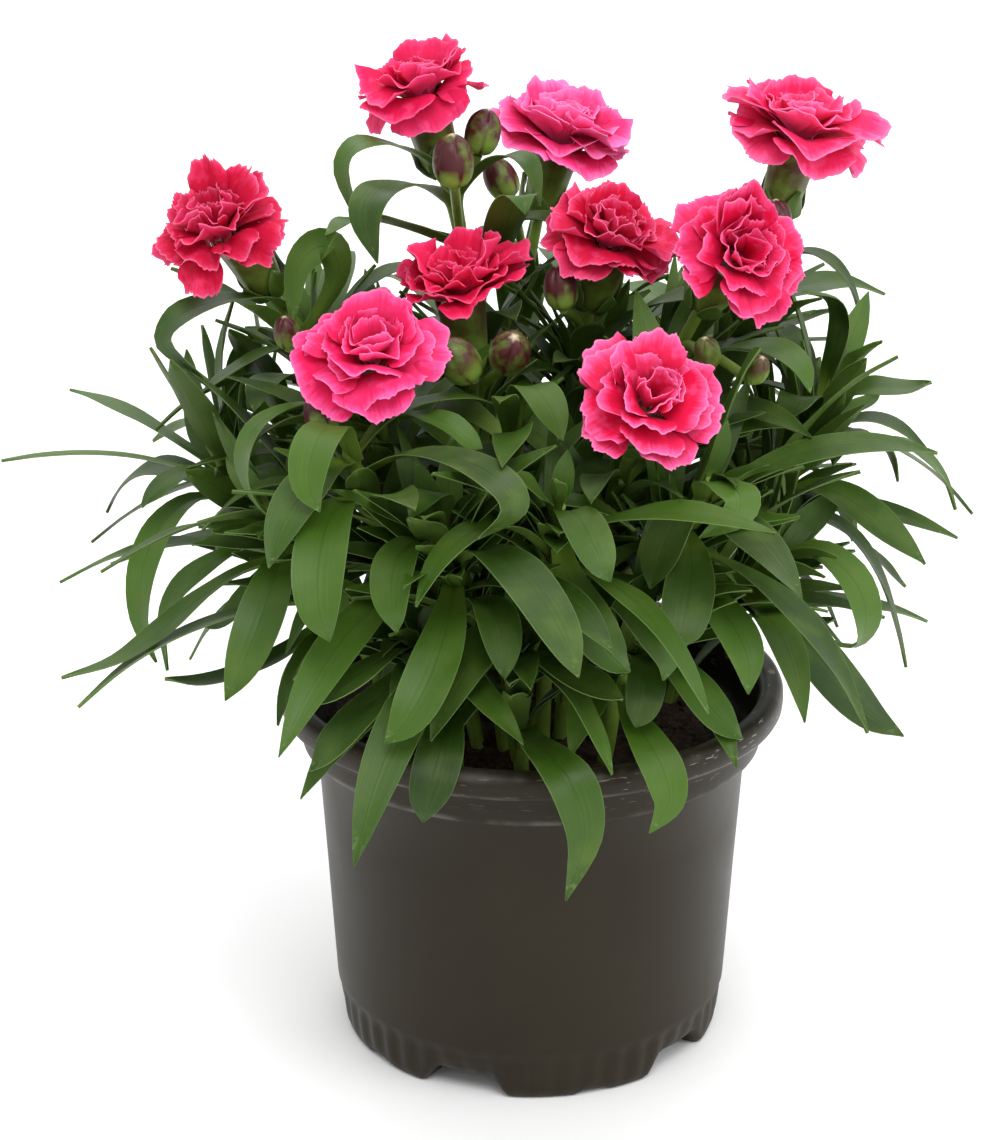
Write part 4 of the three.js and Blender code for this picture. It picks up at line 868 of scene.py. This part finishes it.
class CarnationAddSoil(bpy.types.Operator):
    """Adds the uneven peat surface and its loose crumbs"""

    bl_idname = "carnation.add_soil"
    bl_label = "Soil"

    def execute(self, context):
        look = context.scene.carnation_soil
        rings = 34
        radii = [PEAT_RADIUS * (1 - i / rings) for i in range(rings)] + [AXIS]
        inside_pot = [(AXIS, 10), (49, 10), (56.2, 76)]  # clear of the pot's inside
        rows = inside_pot + [(radius, peat_level(radius)) for radius in radii]
        soil = turned("peat", rows, columns=150)
        close_ends(soil)
        for vertex in soil.data.vertices:
            if vertex.co.z > (PEAT_EDGE - 10) * MM:
                broad = noise.fractal(vertex.co * per(11), 0.9, 2.2, 4)
                small = noise.fractal(vertex.co * per(3.1), 0.8, 2.1, 3)
                vertex.co.z += look.lump * (0.8 * broad + 0.5 * small)
        soil = join("peat", [soil, *self.crumbs(look)])
        cover(soil, damp_peat(values(look)))
        finish_piece(soil, "peat", "soil")
        return {"FINISHED"}

    def crumbs(self, look):
        """Small uneven lumps, scattered evenly over the surface."""
        draw = Random(CRUMB_SEED)
        bpy.ops.mesh.primitive_ico_sphere_add(subdivisions=1, radius=0.5)
        master = named("crumb")
        made = []
        for _ in range(look.crumbs):
            radius, turn = CRUMB_RADIUS * math.sqrt(draw.random()), draw.uniform(0, math.tau)
            size = look.crumb_size * draw.uniform(0.3, 1)
            spin = Matrix.Rotation(draw.uniform(0, math.tau), 3, Vector((draw.random(), draw.random(), 1)))
            level = peat_level(radius) + 0.5
            centre = Vector((radius * math.cos(turn), radius * math.sin(turn), level)) * MM
            stretch = Vector((1, draw.uniform(0.6, 1), draw.uniform(0.5, 0.8)))
            shape = spin @ Matrix.Diagonal(stretch * size)
            made.append(laid(master, "crumb", lambda x, y, z: centre + shape @ Vector((x, y, z))))
        remove(master)
        return made


# ---- Stems, leaves, calyxes and buds ----


def lay_leaf(master, spine, look, draw):
    """Lays the leaf strap along a spine, channelled along its middle, with slightly waved edges."""
    points, acrosses, ups, half = spine
    least_half = 0.12 * MM
    wave = [draw.uniform(-1, 1) * look.wave for _ in range(2)]
    phase = [draw.uniform(0, math.tau) for _ in range(2)]
    fold = look.channel * draw.uniform(0.7, 1.25)
    stations = {}

    def station(s):
        if s not in stations:
            point = curve_point(points, s)
            along = (curve_point(points, s + 0.01) - curve_point(points, s - 0.01)).normalized()
            across = curve_point(acrosses, s)
            across = (across - along * across.dot(along)).normalized()
            up = across.cross(along)
            up = up if up.dot(curve_point(ups, s)) > 0 else -up
            stations[s] = (point, across, up)
        return stations[s]

    def place(x, y, z):
        point, across, up = station(round(y, 4))
        width = max(half * half_width(y), least_half)
        side = 0 if x < 0 else 1
        edge = wave[side] * math.sin(9 * y + phase[side]) * abs(x) ** 2 * math.sin(math.pi * y)
        # The channel gets shallower towards the tip, and the leaf thinner towards its edges.
        level = edge - fold * mix(1.0, 0.45, y) * (1 - abs(x) ** 1.5) + z * (1 - 0.55 * abs(x) ** 3)
        return point + across * (x * width) + up * level

    leaf = laid(master, "leaf", place)
    write(leaf.data, "tone", draw.random())
    return leaf


def is_clear(points):
    """Whether a line keeps out of the blooms and buds, clear of the pot's rim and inside the crown."""
    heads = [(bloom, BLOOM_CLEARANCE) for bloom in BLOOMS] + [(bud, BUD_CLEARANCE) for bud in BUDS]
    for point in points:
        radius = math.hypot(point.x, point.y) / MM
        height = point.z / MM
        on_rim = radius > POT_OPENING and height < POT_TOP + RIM_CLEARANCE
        if on_rim or radius > CROWN or height > CROWN_TOP:
            return False
        if any((point / MM - Vector(head["at"])).length < share * head["size"] for head, share in heads):
            return False
    return True


def surface(piece):
    """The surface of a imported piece, to find what crosses it."""
    mesh = bmesh.new()
    mesh.from_mesh(piece.data)
    made = BVHTree.FromBMesh(mesh)
    mesh.free()
    return made


def crosses(points, surfaces):
    """Whether a line goes through one of the surfaces."""
    for start, end in zip(points, points[1:]):
        step = end - start
        if any(skin.ray_cast(start, step, step.length)[0] for skin in surfaces):
            return True
    return False


def leaving(place, outline, lift):
    """A spine through distances out and heights, from a place on a stem. Its leaf faces back to the stem."""
    points = [place @ (Vector((out, 0, height)) * MM) for out, height in outline]
    across = (place.to_3x3() @ Vector((0, 1, 0))).normalized()
    up = (place.to_3x3() @ Vector((-1, 0, lift))).normalized()
    return points, [across] * len(points), [up] * len(points)


def small_leaves(master, line, shares, kind, surfaces, look, draw):
    """Small leaves at shares of a stem's length, in pairs a quarter turn apart.

    Where one would stand in a bloom, a bud, the rim or a packed leaf or stem, it is left out.
    """
    made = []
    for i, share in enumerate(shares):
        axis = (curve_point(line, share + 0.02) - curve_point(line, share - 0.02)).normalized()
        turn = i * math.pi + (i // 2) * math.pi / 2 + draw.uniform(-0.4, 0.4)
        place = stand(curve_point(line, share), axis, turn)
        rise, opened = draw.uniform(*kind["reach"]), draw.uniform(0.35, 1.0)
        outline = []
        for s in (0, 0.25, 0.5, 0.75, 1):
            out = rise * opened * (0.28 * s + 0.55 * s * s) + 1.2
            outline.append((out, rise * (s - 0.3 * opened * s * s)))
        points, *directions = leaving(place, outline, lift=0.4)
        if is_clear(points[1:]) and not crosses(points[1:], surfaces):
            half = draw.uniform(*kind["half"]) * MM
            made.append(lay_leaf(master, (points, *directions, half), look, draw))
    return made


def stalk(name, line, radii, knots):
    """A round stalk along a line, swollen at its knots."""
    steps = 6 * (len(line) - 1)
    bpy.ops.curve.primitive_nurbs_path_add()
    piece = bpy.context.object
    curve = piece.data
    curve.splines.clear()
    spline = curve.splines.new("POLY")
    spline.points.add(steps)
    for i, point in enumerate(spline.points):
        place = curve_point(line, i / steps)
        swell = sum(math.exp(-(((place - knot).length / (KNOT_LENGTH * MM)) ** 2)) for knot in knots)
        point.co = (*place, 1)
        point.radius = mix(*radii, i / steps) * (1 + KNOT_SWELL * min(1.0, swell)) * MM
    curve.dimensions = "3D"
    curve.bevel_depth = 1.0
    curve.bevel_resolution = 3
    curve.use_fill_caps = True
    pick(piece)
    bpy.ops.object.convert(target="MESH")
    made = named(name)
    # Its colour is that of the lower part of a calyx.
    write(made.data, "rise", 0.25)
    write(made.data, "flush", 0.12)
    return made


def add_calyx(base, axis, look, strap_master, leaf_look, draw):
    """A ribbed cup with five teeth, and two pairs of scales round its foot."""
    top = look.height / MM
    # Its outside from the foot up, over its mouth and a little way down inside.
    foot = [(1.7, -0.6), (2.6, 0), (4.0, 1.2), (4.9, 3.2), (5.4, 6)]
    wall = [(5.8, 10), (6.1, 14), (6.5, 18), (6.9, 21), (7.1, top), (6.9, top + 0.25), (6.6, top)]
    rows = foot + wall + [(6.1, 20), (5.5, 18.4), (4.6, 17.4), (AXIS, 17)]
    piece = turned("calyx", rows, columns=60)
    close_ends(piece)
    tooth = look.tooth / MM
    write(piece.data, "rise", lambda co: min(1.0, max(0.0, co.z / MM / (top + 0.2))))
    flush = draw.uniform(0.4, 0.8)
    write(piece.data, "flush", lambda co: flush * (0.2 + 0.8 * smooth(co.z / MM / top)))
    for vertex in piece.data.vertices:
        x, y, z = vertex.co / MM
        lobe = abs(math.sin(TEETH / 2 * math.atan2(y, x)))
        share = smooth((z - TOOTH_ROOT) / (top - TOOTH_ROOT))
        vertex.co.z += tooth * (lobe**1.3 - 0.75) * share * MM
        rib = 1 + 0.012 * math.cos(2 * TEETH * math.atan2(y, x)) * smooth(z / 4)
        squeeze(vertex, rib * (1 - 0.03 * (1 - lobe) * share))
    place = stand(base, axis, draw.uniform(0, math.tau))
    piece.data.transform(place)
    scales = []
    for i in range(4):
        turn = place @ Matrix.Rotation(i * math.pi / 2 + (0.2 if i > 1 else 0), 4, "Z")
        reach = 8.5 if i % 2 else 10.5
        half = 3.2 * MM
        outline = [(1.8, -0.8), (4.2, 1.0), (5.5, 3.2), (6.1, 0.62 * reach), (6.7, reach)]
        spine = (*leaving(turn, outline, lift=0.3), half)
        scales.append(lay_leaf(strap_master, spine, leaf_look, draw))
    return piece, scales


def add_bud(bud):
    """A closed bud: five maroon calyx teeth with green seams fold over the pale tips of its petals."""
    size = bud["size"]
    piece = turned("bud", [(radius * size, height * size) for radius, height in BUD_SHAPE], columns=40)
    close_ends(piece)

    def tooth(place):
        """From 0 on the seam between two teeth to 1 in the middle of one."""
        return abs(math.cos(TEETH / 2 * math.atan2(place.y, place.x)))

    def height(place):
        """From 0 at the foot to 1 at the tip."""
        return min(1.0, max(0.0, place.z / MM / (BUD_SHAPE[-1][1] * size)))

    def flush(place):
        """Red from the middle up, and dark along the seams."""
        upper = smooth((height(place) - 0.1) / 0.5)
        return bud["flush"] * mix(upper, 1.0, (1 - tooth(place)) ** 4)

    write(piece.data, "rise", lambda place: height(place) ** (0.8 + tooth(place)))
    write(piece.data, "flush", flush)
    for vertex in piece.data.vertices:
        share = smooth((vertex.co.z / MM / size - 0.5) / 0.45)
        squeeze(vertex, 1 - 0.2 * share * (1 - tooth(vertex.co)) ** 3)
    axis = facing(bud["tilt"], bud["heading"])
    foot = Vector(bud["at"]) * MM - axis * (BUD_LENGTH / 2 * size * MM)
    # Its size also turns it, so that buds of different sizes show different seams.
    piece.data.transform(stand(foot, axis, size))
    return piece


class CarnationAddFoliage(bpy.types.Operator):
    """Adds every stem with its leaves, calyx and buds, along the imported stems"""

    bl_idname = "carnation.add_foliage"
    bl_label = "Stems and leaves"

    def execute(self, context):
        look = context.scene.carnation_leaf
        calyx_look = context.scene.carnation_calyx
        leaf_material = waxy_leaf(values(look))
        skin_material = calyx_skin(values(calyx_look))
        master = strap("leaf_strap", across=6, along=20, thickness=look.thickness)
        small = strap("small_leaf_strap", across=2, along=10, thickness=look.thickness)
        names = sorted(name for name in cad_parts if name.startswith(("flower_stem", "leafy_shoot")))
        surfaces = [surface(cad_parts[name]) for name in names]
        placed = 0
        for index, name in enumerate(names):
            draw = Random(STEM_SEED + index)
            leaves, buds, line = read_stem(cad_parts[name], BUDS)
            blades = [lay_leaf(master, spine, look, draw) for spine in leaves]
            low = [mix(*LOW_LEAVES["along"], draw.random()) for _ in range(look.low_leaves)]
            blades += small_leaves(small, line, low, LOW_LEAVES, surfaces, look, draw)
            knots = [points[0] for points, *_ in leaves]
            skins = [stalk("stalk", line, STEM_RADII, knots)]
            for bud, rings in buds:
                bud_line = [middle(ring) for ring in reversed(rings[2:])]
                skins.append(stalk("bud_stalk", bud_line, BUD_STALK_RADII, []))
                skins.append(add_bud(bud))
            placed += len(buds)
            if name.startswith("flower_stem"):
                bloom = BLOOMS[int(name.rsplit("_", 1)[1]) - 1]
                axis = facing(bloom["tilt"], bloom["heading"])
                cup, scales = add_calyx(line[-1], axis, calyx_look, master, look, draw)
                skins.append(cup)
                blades += scales
            else:
                shares = [i / look.young_leaves for i in range(look.young_leaves)]
                top = [mix(*YOUNG_LEAVES["along"], share) for share in shares]
                blades += small_leaves(small, line, top, YOUNG_LEAVES, surfaces, look, draw)
            for parts, material in ((blades, leaf_material), (skins, skin_material)):
                for part in parts:
                    cover(part, material)
            finish_piece(join(name + "_fine", blades + skins), "leaf", name)
        remove(master, small)
        if placed != len(BUDS):
            raise RuntimeError(f"{placed} buds were found on the packed stems, not {len(BUDS)}")
        return {"FINISHED"}


# ---- Blooms ----


def petal_place(bloom, row, turn, end_slope, reach, look, draw):
    """Where each point of the petal strap goes in a bloom's own frame, for one petal."""
    inner = PETAL_ROWS.index(row) / (len(PETAL_ROWS) - 1)
    half = row["half"] * bloom["size"] * bloom["width"] * draw.uniform(0.88, 1.12)
    ruffle = look.ruffle / MM * bloom["ruffle"] * draw.uniform(0.6, 1.2)
    cup = row["cup"] * bloom["fold"] * draw.uniform(0.5, 1.4)
    crease = draw.uniform(-0.2, 0.42) * half
    lobes, phase = draw.uniform(1.1, 1.9), draw.uniform(0, math.tau)
    crimps, crimp_phase = draw.uniform(2.6, 4.2), draw.uniform(0, math.tau)
    roll, skew = draw.uniform(-0.35, 0.35), draw.uniform(-0.14, 0.14)
    teeth, tooth = draw.uniform(5.0, 6.5), look.tooth / MM * bloom["ruffle"]
    # The line of the petal's middle bends from its slope at the root to its slope at the edge.
    steps = 12
    spine = [Vector((row["radius"], 0, row["height"]))]
    for i in range(steps):
        slope = math.radians(mix(row["slopes"][0], end_slope, smooth((i + 0.5) / steps * 1.35)))
        spine.append(spine[-1] + Vector((math.cos(slope), 0, math.sin(slope))) * (reach / steps))
    lean, lean_heading = (math.radians(degrees) for degrees in bloom["lean"])
    leaning = Matrix.Rotation(lean * inner, 3, Vector((-math.sin(lean_heading), math.cos(lean_heading), 0)))
    turned_to = leaning @ Matrix.Rotation(turn, 3, "Z")

    def place(x, y, z):
        # The edge is rounded, scalloped and cut into ragged teeth.
        ragged = 0.6 + 0.4 * math.sin(3.1 * x + crimp_phase)
        bite = (0.5 - 0.5 * math.cos(teeth * math.tau * x)) * ragged * tooth * y**8
        scallop = 0.06 * (0.5 + 0.5 * math.cos(2 * lobes * math.pi * x + phase)) * y
        edge = y * (1 - 0.24 * abs(x) ** 2.4 * y) * (1 - scallop) - bite / reach
        point = curve_point(spine, edge)
        along = (curve_point(spine, edge + 0.02) - curve_point(spine, edge - 0.02)).normalized()
        up = Vector((-along.z, 0, along.x))
        # The narrow claw fans out into the blade, which is ruffled, crimped, creased and cupped.
        fan = half * mix(0.14, 1.0, smooth((y - 0.05) / 0.72))
        wave = ruffle * y * y * math.sin(lobes * math.pi * x + phase)
        wave += 0.3 * ruffle * y**3 * math.sin(crimps * math.pi * x + crimp_phase)
        fold = crease * y * (math.sqrt(x * x + 0.03) - 0.5)
        level = wave + fold + cup * fan * abs(x) ** 1.7 * y + z / MM
        sideways = x * fan * (1 - 0.25 * cup * x * x)
        spot = point + up * (level + roll * sideways * y) + Vector((0, sideways + skew * edge * reach, 0))
        return turned_to @ (spot * MM)

    return place


def petals_of(bloom, draw):
    """The row, heading, slope at the edge and reach of each petal of a bloom."""
    found = []
    for k, row in enumerate(PETAL_ROWS):
        droop = bloom["droop"] * (1 - smooth(1.5 * k / (len(PETAL_ROWS) - 1)))
        petals = round(row["petals"] * bloom["full"])
        for i in range(petals):
            turn = math.tau * (i + 0.5 * (k % 2)) / petals + 0.5 * k + draw.uniform(-0.24, 0.24)
            slope = row["slopes"][1] - droop + draw.uniform(-14, 14)
            found.append((row, turn, slope, row["reach"] * bloom["size"] * draw.uniform(0.88, 1.08)))
    for heading, slope, reach in bloom["raised"]:
        found.append((PETAL_ROWS[RAISED_ROW], math.radians(heading), slope, reach * bloom["size"]))
    return found


class CarnationAddBlooms(bpy.types.Operator):
    """Adds the double blooms, petal by petal from the outside in"""

    bl_idname = "carnation.add_blooms"
    bl_label = "Blooms"

    def execute(self, context):
        look = context.scene.carnation_petal
        master = strap("petal_strap", across=28, along=9, thickness=look.thickness)
        for index, bloom in enumerate(BLOOMS):
            draw = Random(BLOOM_SEED + index)
            petals = []
            for petal in petals_of(bloom, draw):
                made = laid(master, "petal", petal_place(bloom, *petal, look, draw))
                write(made.data, "tone", draw.random())
                petals.append(made)
            name = f"petals_{index + 1}"
            piece = join(name + "_fine", petals)
            axis = facing(bloom["tilt"], bloom["heading"])
            seat = Vector(bloom["at"]) * MM - axis * BLOOM_SEAT * MM
            piece.data.transform(stand(seat, axis))
            cover(piece, velvety_petal(f"petal tissue, grown velvety {index + 1}", values(look), bloom))
            finish_piece(piece, "petal", name)
        remove(master)
        return {"FINISHED"}


# ---- Stage ----


class CarnationAddStage(bpy.types.Operator):
    """Adds the pale floor, the soft studio light and the camera"""

    bl_idname = "carnation.add_stage"
    bl_label = "Stage"

    def execute(self, context):
        look = context.scene.carnation_stage
        scene = context.scene
        bpy.ops.mesh.primitive_plane_add(size=look.floor_size)
        floor = named("floor")
        made, tree = new_material("paper, matt white")
        paper = node(tree, "ShaderNodeBsdfPrincipled", {"Base Color": look.floor_shade, "Roughness": 0.9})
        node(tree, "ShaderNodeOutputMaterial", {"Surface": paper})
        cover(floor, made)
        for name, box in SOFTBOXES.items():
            self.softbox(name, box, look.light)
        world = bpy.data.worlds.new("white surroundings")
        world.use_nodes = True
        background = world.node_tree.nodes["Background"]
        background.inputs["Color"].default_value = (1, 1, 1, 1)
        background.inputs["Strength"].default_value = look.sky
        scene.world = world
        scene.view_settings.view_transform = "Standard"
        turn = (math.radians(CAMERA["pitch"]), 0, 0)
        bpy.ops.object.camera_add(location=CAMERA["place"], rotation=turn)
        camera = bpy.context.object
        camera.data.lens = look.lens / MM
        camera.data.sensor_width = CAMERA["sensor"]
        scene.camera = camera
        deselect()
        return {"FINISHED"}

    def softbox(self, name, box, share):
        """A square softbox with a share of its usual power."""
        place, towards = Vector(box["place"]), Vector(box["towards"])
        bpy.ops.object.light_add(type="AREA", location=place)
        light = bpy.context.object
        light.name = name
        light.data.size = box["width"]
        light.data.energy = box["power"] * share
        light.rotation_euler = (towards - place).to_track_quat("-Z", "Y").to_euler()


class CarnationPanel(bpy.types.Panel):
    """Lists the pieces of the plant and their settings"""

    bl_idname = "VIEW3D_PT_carnation"
    bl_label = "Pot Carnation"
    bl_space_type = "VIEW_3D"
    bl_region_type = "UI"
    bl_category = "Carnation"

    def draw(self, context):
        for key, group, operator in PIECES:
            box = self.layout.box()
            if operator:
                box.operator(operator.bl_idname)
            for setting in group.__annotations__:
                box.prop(getattr(context.scene, key), setting)


# A name on the scene, the settings under it, and the operator that they are for. Stems and leaves use the
# calyx's settings too.
PIECES = [
    ("carnation_pot", CarnationPot, CarnationAddPot),
    ("carnation_soil", CarnationSoil, CarnationAddSoil),
    ("carnation_leaf", CarnationLeaf, CarnationAddFoliage),
    ("carnation_calyx", CarnationCalyx, None),
    ("carnation_petal", CarnationPetal, CarnationAddBlooms),
    ("carnation_stage", CarnationStage, CarnationAddStage),
]
CLASSES = [group for _, group, _ in PIECES] + [operator for *_, operator in PIECES if operator]
CLASSES.append(CarnationPanel)


def register():
    for made in CLASSES:
        bpy.utils.register_class(made)
    for key, group, _ in PIECES:
        setattr(bpy.types.Scene, key, bpy.props.PointerProperty(type=group))


def unregister():
    for key, *_ in PIECES:
        delattr(bpy.types.Scene, key)
    for made in reversed(CLASSES):
        bpy.utils.unregister_class(made)


def main():
    """Adds the plant and its stage."""
    register()
    deselect()
    bpy.ops.carnation.add_pot()
    bpy.ops.carnation.add_soil()
    bpy.ops.carnation.add_foliage()
    bpy.ops.carnation.add_blooms()
    bpy.ops.carnation.add_stage()


if __name__ == "__main__":
    main()
